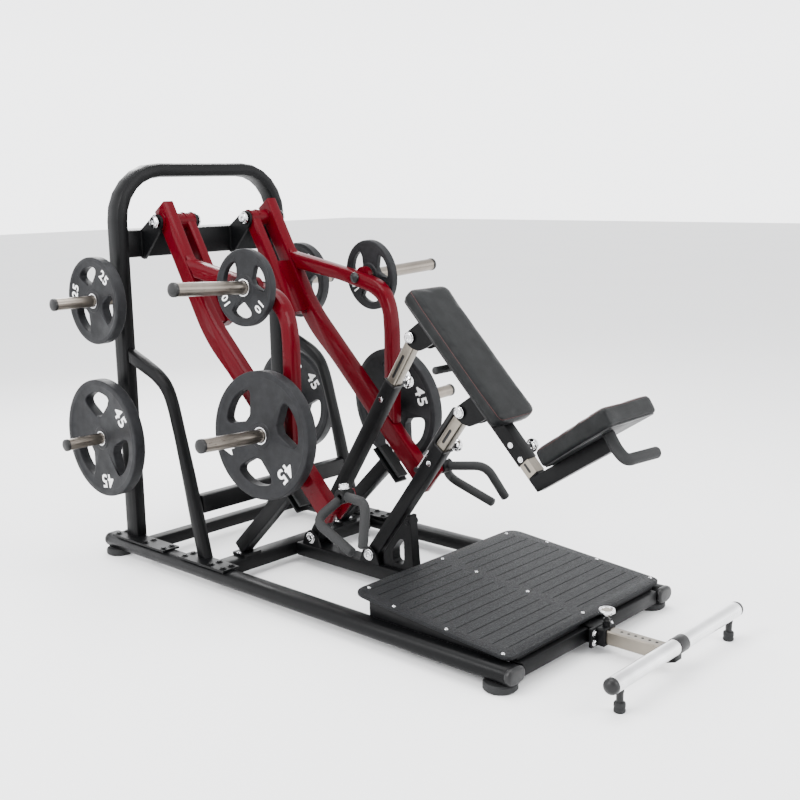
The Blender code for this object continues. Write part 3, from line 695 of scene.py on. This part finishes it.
def fasteners():
    up = (0, 0, 1)
    for side, word in SIDES:
        out = Vector((0, side, 0))
        for where, y, way in (("outer", 0.3105, out), ("inner", 0.1195, -out)):
            at = here(PIVOT[0], side * y, PIVOT[1])
            cap_bolt(f"pivot_cap_{where}_{word}", at, way, "base_frame", 0.022)
        at = here(GRIP_X - 0.004, side * 0.258, GRIP_Z + 0.0245)
        cap_bolt(f"handle_cap_{word}", at, (-0.1, 0, 1), f"handle_{word}", 0.017, 0.016)
        lug_x = (0.022, 0.200, 0.315, 0.446, 0.600, 0.668)
        spots = [(here(x, side * y, RAIL_LUG_TOP), up) for x in lug_x for y in RAIL_BOLTS_Y]
        bolt_set(f"rail_top_bolts_{word}", spots, "base_frame", BLACK)
        spots = [(here(0.585, side * y, 0.0923), up) for y in (0.221, 0.289)]
        bolt_set(f"stop_post_bolts_{word}", spots, "base_frame", CHROME, 0.007, 0.005)
        for tag, (x, z) in (("rear", STRUT_A[0]), ("front", STRUT_B[0])):
            at = here(x, side * 0.0357, z)
            cap_bolt(f"{tag}_strut_foot_cap_{word}", at, out, "base_frame", 0.019, 0.009)
        for tag, (x, z) in (("rear", STRUT_A[1]), ("front", STRUT_B[1])):
            at = here(x, side * 0.0402, z)
            cap_bolt(f"{tag}_strut_top_cap_{word}", at, out, "pad_carrier", 0.018, 0.008)
    spots = [(here(1.184, side * 0.0202, 0.262), (0, side, 0)) for side in (-1, 1)]
    bolt_set("gusset_bolt", spots, "base_frame", BLACK)
    tube_wall = 0.0251
    for tag, line, cut in (("rear", STRUT_A, CUT_A), ("front", STRUT_B, CUT_B)):
        foot, way = strut_axis(line)
        at = foot + way * (cut - 0.075)
        spots = [(at + Vector((0, side * tube_wall, 0)), (0, side, 0)) for side in (-1, 1)]
        bolt_set(f"{tag}_strut_screws", spots, "base_frame", CHROME, 0.0065, 0.004)
    along = (0.700, 0.757)
    spots = [(on_pad(s, 1.598, side * tube_wall), (0, side, 0)) for s in along for side in (-1, 1)]
    bolt_set("pad_beam_screws", spots, "pad_carrier", CHROME, 0.0065, 0.004)


def rail_caps():
    """Rounded plastic plugs over the four open ends of the base rails."""
    for side, word in SIDES:
        for x, way, where in ((-0.050, -1, "rear"), (1.955, 1, "front")):
            ring = []
            r, flat = 0.0256, 0.0151
            for half in (1, -1):
                for k in range(11):
                    a = -math.pi / 2 + math.pi * k / 10
                    y = side * RAIL_Y + half * (flat + r * math.cos(a))
                    ring.append(here(x - way * 0.022, y, 0.055 + half * r * math.sin(a)))
            bm = bmesh.new()
            prism(bm, ring, (way * 0.0245, 0, 0), 0.009, 4)
            piece_of(f"rail_cap_{where}_{word}", bm, "base_frame", PLASTIC, math.radians(50))


def weld_beads():
    """Thin weld fillets round the brackets of the high cross tube and the arm hubs."""
    for side, word in SIDES:
        bm = bmesh.new()
        for y in (0.127, 0.303):
            line = [here(0.1015, side * y, 1.176 + 0.022 * k) for k in range(5)]
            swept(bm, line, 0.0028, 10)
        piece_of(f"bracket_weld_{word}", bm, "base_frame", BLACK)
        bm = bmesh.new()
        for y, grow in ((0.2285, 0.0005), (0.2815, 0.0005), (0.1425, 0), (0.1815, 0)):
            line = []
            for k in range(17):
                a = math.pi * (0.15 + 1.2 * k / 16)
                x, z = math.cos(a) * (0.0318 + grow), math.sin(a) * (0.0318 + grow)
                line.append(here(PIVOT[0] + x, side * y, PIVOT[1] + z))
            swept(bm, line, 0.0022, 8)
        piece_of(f"hub_weld_{word}", bm, f"arm_{word}", RED)


# ---------------------------------------------------------------- struts, pad beam, knobs


def slotted_tube(name, start, end, wide, slots, eye, body, node):
    """A square nickel tube with slots through both side walls, a dark block inside behind the slots as
    painted shade, and a pin hole at its eye.

    Each slot is (start, end, half its height), and the eye is (place, radius)."""
    way = (end - start).normalized()
    up = Vector((-way.z, 0, way.x))
    base = bmesh.new()
    half = wide / 2
    corners = ((1, 1), (-1, 1), (-1, -1), (1, -1))
    ring = [start + Vector((0, a * half, 0)) + up * (b * half) for a, b in corners]
    prism(base, ring, end - start)
    spans = [(e, (e.verts[0].co - e.verts[1].co).normalized()) for e in base.edges]
    edges = [e for e, span in spans if abs(span.dot(way)) > 0.99]
    bmesh.ops.bevel(base, geom=edges, offset=0.0064, segments=3, profile=0.5, affect="EDGES")
    cutters = []
    for a, b, tall in slots + ((eye[0], eye[0], eye[1]),):
        cut = bmesh.new()
        flat = []
        for centre, turn in ((b, -0.5), (a, 0.5)):
            for k in range(13):
                t = math.pi * (turn + k / 12)
                flat.append((centre + tall * math.cos(t), tall * math.sin(t)))
        ring = [start + way * s + up * n - Vector((0, half * 1.2, 0)) for s, n in flat]
        prism(cut, ring, (0, half * 2.4, 0))
        cutters.append(cut)
    # A dark plastic block inside the bar behind each slot: painted shade for the dark inside of the tube
    # seen through the opening.
    slot_shade_block = bmesh.new()
    for a, b, tall in slots:
        flat = [(b + tall, -tall), (b + tall, tall), (a - tall, tall), (a - tall, -tall)]
        ring = [start + way * s + up * n * 1.05 - Vector((0, half - 0.003, 0)) for s, n in flat]
        prism(slot_shade_block, ring, (0, wide - 0.006, 0))
    piece_of(name + "_lining", slot_shade_block, body, PLASTIC)
    made = piece_from(name, carved(base, cutters), body, NICKEL_X)
    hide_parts(node)


def strut_tubes():
    """The sliding tube of each strut, and the plastic collar that it leaves the outer tube through."""
    out, into = 0.0262, 0.0215
    walls = ((-out, out, into, out), (-out, out, -out, -into))
    walls += ((-out, -into, -out, out), (into, out, -out, out))
    for tag, line, cut, slots, body in (
        ("rear_strut", STRUT_A, CUT_A, ((0.178, 0.268, 0.0055),), "rear_post_slide"),
        ("front_strut", STRUT_B, CUT_B, ((0.180, 0.232, 0.0055),), "front_post_slide"),
    ):
        foot, way = strut_axis(line)
        top = here(line[1][0], 0, line[1][1])
        low = foot + way * (cut - 0.150)
        eye, end = ((top - low).length, 0.0118), top + way * 0.016
        slotted_tube(f"{tag}_slotted_tube", low, end, 0.0420, slots, eye, body, f"{tag}_inner_tube")
        up = Vector((-way.z, 0, way.x))
        at = foot + way * (cut - 0.004)
        bm = bmesh.new()
        for a, b, c, d in walls:
            corners = ((a, c), (a, d), (b, d), (b, c))
            prism(bm, [at + up * n + Vector((0, y, 0)) for y, n in corners], way * 0.007, 0.001)
        piece_of(f"{tag}_collar", bm, "base_frame", PLASTIC)


def mushroom(name, at, way, node, reach, r=0.023, root=-0.009):
    """A spring-pin pull knob: threaded barrel, neck, and a dished chrome head."""
    way = Vector(way).normalized()
    barrel = [(0, root), (0.010, root), (0.0105, root + 0.001), (0.0105, reach * 0.45)]
    barrel += [(0.008, reach * 0.5), (0.006, reach * 0.55), (0.006, reach + 0.002), (0, reach + 0.002)]
    lathe(name + "_barrel", barrel, at, way, name, PLASTIC, 24)
    shape = [(0, 0), (0.47, 0), (0.58, 0.002), (0.63, 0.006), (0.92, 0.008), (1, 0.010), (1, 0.017)]
    shape += [(0.94, 0.0196), (0.82, 0.020), (0.74, 0.0185), (0.68, 0.0165), (0, 0.0160)]
    head = [(r * wide, reach + tall) for wide, tall in shape]
    made = lathe(name + "_head", head, at, way, name, CHROME, 40)
    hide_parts(node)


def seat_slide_cover():
    """Bright plating on the seat's sliding tube where it leaves the pad beam, and a thin dark sheet on each
    side as painted shade where its slot opens.
    """
    bm = bmesh.new()
    s0, s1, n0, n1, half = 0.700, 0.8190, 1.5770, 1.6190, 0.0211
    for n in (1.57685, 1.61910):
        prism(bm, [on_pad(s, n, y) for s, y in oblong(s0, s1, half)], PAD_UP * 0.00015)
    for y in (-half, half - 0.00005):
        flat = ((s0, n0), (s1, n0), (s1, n1), (s0, n1))
        prism(bm, [on_pad(s, n, y) for s, n in flat], (0, 0.00005, 0))
    piece_of("seat_tube_plating", bm, "seat_carrier", NICKEL_X)
    # The slot is not cut: a thin dark plastic sheet on each side face is painted shade standing in for the
    # slot's opening.
    bm = bmesh.new()
    for side in (-1, 1):
        flat = ((0.776, 1.5935), (0.806, 1.5935), (0.810, 1.598), (0.806, 1.6025), (0.776, 1.6025))
        ring = [on_pad(s, n, side * 0.0210) for s, n in flat + ((0.772, 1.598),)]
        prism(bm, ring, (0, side * 0.00018, 0))
    piece_of("seat_tube_slot_shade", bm, "seat_carrier", PLASTIC)


def pull_knobs():
    across = (0, 1, 0)
    struts = (("rear_strut_knob", STRUT_A, 0.750), ("front_strut_knob", STRUT_B, 0.541))
    for name, line, along in struts:
        foot, way = strut_axis(line)
        at = foot + way * along + Vector((0, KNOB_FACE, 0))
        mushroom(name, at, across, name, 0.030)
    mushroom("seat_pull_knob", on_pad(0.721, 1.598, KNOB_FACE), across, "seat_pull_knob", 0.024)
    at = here(FOOT_KNOB_X, 0, FOOT_KNOB_Z)
    mushroom("foot_bar_knob", at, (0, 0, 1), "foot_bar_knob", 0.020, 0.026, -0.0006)
    disc = [(0, 0.0355), (0.0165, 0.0355), (0.0165, 0.0372), (0.006, 0.0376), (0, 0.0376)]
    lathe("foot_bar_knob_disc", disc, at, (0, 0, 1), "foot_bar_knob", NICKEL_X)


def gas_spring():
    """The spring beside the front post: a black body on the sliding tube, a bright rod on the base."""
    foot, way = strut_axis(STRUT_B)
    side = Vector((-way.z, 0, way.x))
    foot += side * 0.0385
    body = [(0.0042, 0.500), (0.0100, 0.500), (0.0108, 0.502), (0.0108, 0.690), (0.0095, 0.694)]
    body += [(0.0042, 0.694)]
    lathe("gas_spring_body", body, foot, way, "front_post_slide", PLASTIC, 28)
    rod = [(0, 0.405), (0.0034, 0.405), (0.0034, 0.600), (0, 0.600)]
    lathe("gas_spring_rod", rod, foot, way, "base_frame", CHROME, 20)
    low, high = foot + way * 0.400, foot + way * 0.684
    eye = [(0, -0.008), (0.0085, -0.008), (0.0092, -0.007), (0.0092, 0.007), (0.0085, 0.008), (0, 0.008)]
    lathe("gas_spring_low_eye", eye, low, (0, 1, 0), "base_frame", PLASTIC, 24)
    for name, at, a, b, owner in (
        ("gas_spring_low_lug", low, 0.0145, 0.004, "base_frame"),
        ("gas_spring_top_lug", high, 0.0175, 0.009, "front_post_slide"),
    ):
        bm = bmesh.new()
        swept(bm, [at - side * a, at - side * b], 0.006, 12)
        piece_of(name, bm, owner, BLACK)


# ---------------------------------------------------------------- handles


def grip_cover(name, line, radius, body, node):
    """A rubber grip along a line, in place of its CAD node."""
    bm = bmesh.new()
    swept(bm, line, radius, 24, 0.8)
    made = piece_of(name, bm, body, GRIP, math.radians(60))
    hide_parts(node)


def handles():
    for side, word in SIDES:
        def spot(x, y, z):
            return here(x, side * y, z)

        root = spot(GRIP_X, 0.262, GRIP_Z)
        upper = (spot(1.271, 0.314, 0.414), spot(1.312, 0.376, 0.290))
        lower = (spot(1.070, 0.354, 0.326), spot(1.256, 0.371, 0.260))
        bm = bmesh.new()
        for bend, tip in (upper, lower):
            start = root + (bend - root).normalized() * 0.022
            swept(bm, smooth_path([start, bend, tip], 0.045), 0.0165)
        made = piece_of(f"handle_{word}_grips", bm, f"handle_{word}", GRIP, math.radians(60))
        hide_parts(f"handle_{word}")
        barrel = [(0.010, 0.0), (0.0235, 0.0), (0.025, 0.002), (0.025, 0.051), (0.0235, 0.053)]
        barrel += [(0.014, 0.053), (0.010, 0.0515)]
        at = spot(GRIP_X, 0.2330, GRIP_Z)
        lathe(f"handle_{word}_barrel", barrel, at, (0, side, 0), f"handle_{word}", BLACK)
    line = [on_pad(0.356, 1.5592, y) for y in (-0.077, -0.03, 0.03, 0.077)]
    grip_cover("rear_grip_cover", line, 0.0133, "pad_carrier", "rear_grip_bar")
    line = [here(2.0125, -0.050, 0.7000), here(2.044, -0.052, 0.655)]
    line += [here(2.076, -0.054, 0.632), here(2.0958, 0.078, 0.6334)]
    grip_cover("seat_grip_cover", smooth_path(line, 0.030), 0.0183, "seat_carrier", "seat_grip")
    boss = [(0, 0), (0.016, 0), (0.017, 0.002), (0.017, 0.020), (0.015, 0.022), (0, 0.022)]
    lathe("seat_grip_boss", boss, on_seat(2.006, -0.524, 0.0253), (0, 1, 0), "seat_carrier", CHROME, 28)


# ---------------------------------------------------------------- deck and foot bar


def deck():
    """The grooved standing plate, its rear rail, its side skirts and its twelve screws."""
    flat = arc_corner(oblong(DECK_X0, DECK_X1, DECK_Y), [0.055, 0.030, 0.030, 0.055], 8)
    base = bmesh.new()
    prism(base, [on_deck(p.x, p.y, -0.012) for p in flat], (0, 0, 0.012), 0.003, 3)
    cuts = bmesh.new()
    pitch, rows, half = 0.0455, 13, 0.0014
    for k in range(rows):
        shorter = 0.018 if k in (0, rows - 1) else 0.0
        for y0, y1, shift in ((-0.385, -0.022, 0.0), (0.022, 0.385, pitch / 2)):
            at = DECK_X0 + 0.035 + pitch * k + shift
            if at > DECK_X1 - 0.03:
                continue
            low, high = y0 + shorter, y1 - shorter
            ring = ((at - half, low), (at + half, low), (at + half, high), (at - half, high))
            prism(cuts, [on_deck(x, y, -0.0016) for x, y in ring], (0, 0, 0.01))
    top = piece_from("deck_plate", carved(base, [cuts]), "base_frame", GRIT)
    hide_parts("foot_deck")
    bm = bmesh.new()
    rear, front = DECK_X0 + 0.060, DECK_X1 - 0.040
    for y in (-0.405, 0.399):
        ring = [here(rear, y, 0.0805), here(front, y, 0.0805)]
        ring += [on_deck(front, y, -0.0125), on_deck(rear, y, -0.0125)]
        prism(bm, ring, (0, 0.006, 0), 0.001)
    rail = DECK_X0 + 0.050
    block(bm, here(rail, -0.399, 0.092), here(rail + 0.040, 0.399, 0.1400), 0.006, 3)
    for y in (-0.379, 0.061):
        block(bm, here(1.894, y, 0.079), here(1.926, y + 0.318, 0.0895), 0.002, 2)
    piece_of("deck_supports", bm, "base_frame", BLACK)
    bm = bmesh.new()
    tilt = Vector((math.sin(DECK_FALL), 0, math.cos(DECK_FALL)))
    head = [(0, 0.0016), (0.0022, 0.0010), (0.0032, 0.0016), (0.0050, 0.0012), (0.0060, 0.0)]
    head += [(0.0060, -0.001), (0, -0.001)]
    for x, wide in ((1.326, 0.3649), (1.475, 0.410), (1.687, 0.410), (1.899, 0.410)):
        for y in (-wide, 0.0, wide):
            turned(bm, head, on_deck(x, y, 0.0002), tilt, 18)
    piece_of("deck_screws", bm, "base_frame", CHROME)


def foot_bar():
    """The cross bar: two polished sleeves, a middle joint, domed ends and two rubber-footed stems."""
    owner, r = "foot_bar_carrier", BAR_R

    def along(y):
        return here(BAR_X, y, BAR_Z)

    for side, word in SIDES:
        out = (0, side, 0)
        sleeve = [(r * 0.5, 0), (r - 0.001, 0), (r, 0.001), (r, 0.333), (r - 0.001, 0.334), (r * 0.5, 0.334)]
        lathe(f"foot_bar_sleeve_{word}", sleeve, along(side * 0.025), out, owner, SLEEVE, 48)
        dome = [(0, -0.004), (r * 0.98, -0.004)]
        for k in range(8):
            a = math.pi / 2 * k / 7
            dome.append((r * math.cos(a), 0.006 + 0.020 * math.sin(a)))
        lathe(f"foot_bar_end_{word}", dome, along(side * 0.3594), out, owner, PLASTIC, 40)
        stem = [(0, 0), (0.0105, 0), (0.0120, 0.004), (0.0120, 0.012), (0.0105, 0.016)]
        stem += [(0.0105, 0.050), (0, 0.050)]
        at = here(BAR_X, side * STEM_Y, BAR_Z - 0.018)
        lathe(f"foot_bar_stem_{word}", stem, at, (0, 0, -1), owner, PLASTIC, 28)
        foot = [(0, 0.0), (0.0150, 0.0), (0.0168, 0.002), (0.0172, 0.008), (0.0158, 0.011), (0.0158, 0.014)]
        foot += [(0.0170, 0.017), (0.0168, 0.026), (0.0150, 0.029), (0.0110, 0.031), (0, 0.031)]
        lathe(f"foot_bar_foot_{word}", foot, here(BAR_X, side * STEM_Y, 0.0), (0, 0, 1), owner, GRIP, 36)
    joint = [(0, -0.0248), (r + 0.0012, -0.0248), (r + 0.0016, -0.023), (r + 0.0016, 0.023)]
    joint += [(r + 0.0012, 0.0248), (0, 0.0248)]
    made = lathe("foot_bar_joint", joint, along(0), (0, 1, 0), owner, PLASTIC, 40)
    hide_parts("foot_bar")
    bm = bmesh.new()
    flat = ((2.2015, 0.030), (2.2320, 0.040), (2.2320, 0.098), (2.2015, 0.080))
    prism(bm, [here(x, -0.0215, z) for x, z in flat], (0, 0.043, 0), 0.003)
    piece_of("foot_bar_gusset", bm, owner, BLACK)
    bm = bmesh.new()
    dimple = [(0, 0.0002), (0.0030, 0.0002), (0.0034, 0.0006), (0.0044, 0.0006), (0.0048, 0.0001)]
    dimple += [(0.0048, -0.0006), (0, -0.0006)]
    for k in range(7):
        turned(bm, dimple, here(2.040 + 0.024 * k, 0, 0.0775), (0, 0, 1), 18)
    piece_of("foot_bar_stops", bm, owner, BLACK)
    spots = [(here(1.9722, side * 0.047, z), (1, 0, 0)) for side in (-1, 1) for z in (0.040, 0.070)]
    bolt_set("receiver_bolts", spots, "base_frame", CHROME, 0.0075, 0.006)


# ---------------------------------------------------------------- padded pieces


def swollen(mesh, cap):
    """Blows the mesh up a little as cloth, so that its sides crown and its corners stay tight."""
    carrier = added("soft", mesh)
    remesh = carrier.modifiers.new("voxels", "REMESH")
    remesh.mode = "VOXEL"
    remesh.voxel_size = 0.006
    fine = evaluated(carrier)
    bpy.data.objects.remove(carrier)
    start = [v.co.copy() for v in fine.vertices]
    soft = added("soft", fine)
    cloth, frames = soft.modifiers.new("cloth", "CLOTH"), 20
    cloth.settings.use_pressure = True
    cloth.settings.uniform_pressure_force = 4.0
    cloth.settings.effector_weights.gravity = 0
    cloth.settings.quality = 5
    cloth.settings.tension_stiffness = 40
    cloth.settings.compression_stiffness = 40
    cloth.settings.bending_stiffness = 2
    cloth.point_cache.frame_start = 1
    cloth.point_cache.frame_end = frames
    for number in range(1, frames + 1):
        bpy.context.scene.frame_set(number)
    done = evaluated(soft)
    for v, first in zip(done.vertices, start):
        moved = v.co - first
        if moved.length > cap:
            v.co = first + moved.normalized() * cap
    bpy.context.scene.frame_set(1)
    bpy.data.objects.remove(soft)
    return done


def padded_piece(name, ring, up, edge, cap, body, node):
    """A cushion from its outline: soft rims, swollen by the cloth step, then made smooth."""
    bm = bmesh.new()
    prism(bm, ring, up, edge, 4)
    mesh = swollen(mesh_of(name, bm), cap)
    made = piece_from(name, mesh, body, VINYL, math.radians(80))
    smooth = made.modifiers.new("smooth", "SMOOTH")
    smooth.factor = 0.5
    smooth.iterations = 4
    finer = made.modifiers.new("finer", "SUBSURF")
    finer.levels = finer.render_levels = 1
    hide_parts(node)
    return made


def stitch_line(name, line, radius, body, normal):
    """Short raised stitches with gaps along a closed or open line."""
    bm = bmesh.new()
    step, gap = 0.0058, 0.0022
    for a, b in zip(line, line[1:]):
        length = (b - a).length
        count = max(1, int(length / (step + gap)))
        way = (b - a).normalized()
        room = length / count
        for k in range(count):
            p = a + way * (k * room + gap / 2)
            q = a + way * ((k + 1) * room - gap / 2)
            mid = (p + q) / 2 + normal * radius * 0.7
            swept(bm, [p, mid, q], radius, 6)
    piece_of(name, bm, body, THREAD, math.radians(70))


def chest_pad():
    """The chest pad on its board, and the line that its stitches follow."""
    body = "pad_carrier"
    s0, s1, n0, n1, wide = 0.094, 0.648, 1.6262, 1.6745, 0.1005
    ring = [on_pad(p.x, n0, p.y) for p in arc_corner(oblong(s0, s1, wide), [0.034] * 4, 8)]
    rise = PAD_UP * (n1 - n0)
    made = padded_piece("chest_pad_cover", ring, rise, 0.013, 0.0045, body, "chest_pad")
    inset = 0.0075
    flat = arc_corner(oblong(s0 + inset, s1 - inset, wide - inset), [0.026] * 4, 6)
    line = [on_pad(p.x, n1, p.y) for p in flat + flat[:1]]
    bm = bmesh.new()
    flat = arc_corner(oblong(s0 + 0.01, s1 - 0.01, 0.088), [0.02] * 4, 5)
    prism(bm, [on_pad(p.x, 1.6215, p.y) for p in flat], PAD_UP * 0.0060, 0.001)
    piece_of("chest_pad_board", bm, body, PLASTIC)
    return made, line


def seat_plan(low, shrink):
    """The saddle's outline at a height, drawn in by a distance."""
    plan = [(1.800, 0.074), (1.900, 0.100), (2.030, 0.130), (2.150, 0.138)]
    flat = [(g, -w) for g, w in plan] + [(g, w) for g, w in reversed(plan)]
    middle = (plan[0][0] + plan[-1][0]) / 2
    length, width = 1 - shrink / 0.175, 1 - shrink / 0.125
    shrunk = [(middle + (g - middle) * length, w * width) for g, w in flat]
    flat = arc_corner(shrunk, [0.022, 0.10, 0.10, 0.014, 0.014, 0.10, 0.10, 0.022], 6)
    return [on_seat(p.x, low, p.y) for p in flat]


def seat():
    body = "seat_carrier"
    ring, rise = seat_plan(-0.5005, 0.003), SEAT_UP * 0.0570
    made = padded_piece("seat_cover", ring, rise, 0.011, 0.0045, body, "seat_cushion")
    bm = bmesh.new()
    prism(bm, seat_plan(-0.5036, 0.014), SEAT_UP * 0.0045, 0.001)
    piece_of("seat_board", bm, body, PLASTIC)
    return made


def top_stitches(name, cushion, flat_line, normal, body):
    """Stitches laid on the cushion's real top face, found by casting each point onto it."""
    bpy.context.view_layer.update()
    graph = bpy.context.evaluated_depsgraph_get()
    shape = cushion.evaluated_get(graph)
    line = []
    for a, b in zip(flat_line, flat_line[1:]):
        count = max(1, int((b - a).length / 0.02))
        for k in range(count):
            line.append(a.lerp(b, k / count))
    line.append(flat_line[-1])
    laid = []
    for point in line:
        hit, place, _, _ = shape.ray_cast(point + normal * 0.05, -normal, distance=0.1)
        if hit:
            laid.append(place + normal * 0.0002)
    stitch_line(name, laid, 0.0008, body, normal)


def pads():
    made, line = chest_pad()
    top_stitches("chest_pad_stitches", made, line, PAD_UP, "pad_carrier")
    cover = seat()
    ring = seat_plan(-0.441, 0.012)
    top_stitches("seat_stitches", cover, ring + [ring[0]], SEAT_UP, "seat_carrier")
    seam = [on_seat(2.075, -0.43, y) for y in (-0.122, -0.06, 0.0, 0.06, 0.122)]
    top_stitches("seat_cross_seam", cover, seam, SEAT_UP, "seat_carrier")


# ---------------------------------------------------------------- room, light, camera


def studio():
    bm = bmesh.new()
    bmesh.ops.create_grid(bm, x_segments=8, y_segments=8, size=30)
    mesh = bpy.data.meshes.new("floor")
    bm.to_mesh(mesh)
    bm.free()
    mesh.materials.append(pale_floor())
    added("floor", mesh)
    world = bpy.data.worlds.new("studio")
    world.use_nodes = True
    tree = world.node_tree
    way = tree.nodes.new("ShaderNodeTexCoord").outputs["Generated"]
    split = tree.nodes.new("ShaderNodeSeparateXYZ")
    tree.links.new(way, split.inputs["Vector"])
    ramp = tree.nodes.new("ShaderNodeMapRange")
    for key, number in (("From Min", 0.10), ("From Max", 0.60), ("To Min", 4.2), ("To Max", 1.8)):
        ramp.inputs[key].default_value = number
    tree.links.new(split.outputs["Z"], ramp.inputs["Value"])
    tree.links.new(ramp.outputs["Result"], tree.nodes["Background"].inputs["Strength"])
    tree.nodes["Background"].inputs["Color"].default_value = (0.98, 0.985, 1.0, 1)
    bpy.context.scene.world = world
    lamps = (
        ("key", (-0.8, -3.8, 3.6), 2.2, 260, (0.1, 0, 0.6)),
        ("front", (4.2, 1.2, 3.0), 2.0, 130, (0.3, 0, 0.5)),
        ("top", (0.0, 0.3, 4.6), 3.4, 240, (0.0, 0, 0.5)),
        ("rear", (-3.6, 1.6, 2.8), 1.8, 110, (0.0, 0, 0.8)),
    )
    for name, spot, size, power, aim in lamps:
        light = bpy.data.lights.new(name, "AREA")
        light.size = size
        light.energy = power
        lamp = added(name, light)
        lamp.location = spot
        lamp.rotation_euler = (Vector(aim) - Vector(spot)).to_track_quat("-Z", "Y").to_euler()


def camera():
    azimuth, pitch, roll = math.radians(42.54), math.radians(11.0), math.radians(-0.976)
    level = Vector((math.sin(azimuth), -math.cos(azimuth), 0))
    back = level * math.cos(pitch) + Vector((0, 0, math.sin(pitch)))
    right = Vector((math.cos(azimuth), math.sin(azimuth), 0))
    up = back.cross(right)
    turned_right = right * math.cos(roll) + up * math.sin(roll)
    turned_up = up * math.cos(roll) - right * math.sin(roll)
    lens = bpy.data.cameras.new("camera")
    lens.sensor_width = 36
    lens.lens = 50.84
    eye = added("camera", lens)
    eye.matrix_world = Matrix((turned_right, turned_up, back)).transposed().to_4x4()
    eye.location = here(3.7417, -2.8356, 1.4389)
    bpy.context.scene.camera = eye


camera()
studio()
dress_frame_nodes()
weight_plates()
peg_ends()
fasteners()
rail_caps()
weld_beads()
strut_tubes()
pull_knobs()
gas_spring()
seat_slide_cover()
handles()
deck()
foot_bar()
pads()
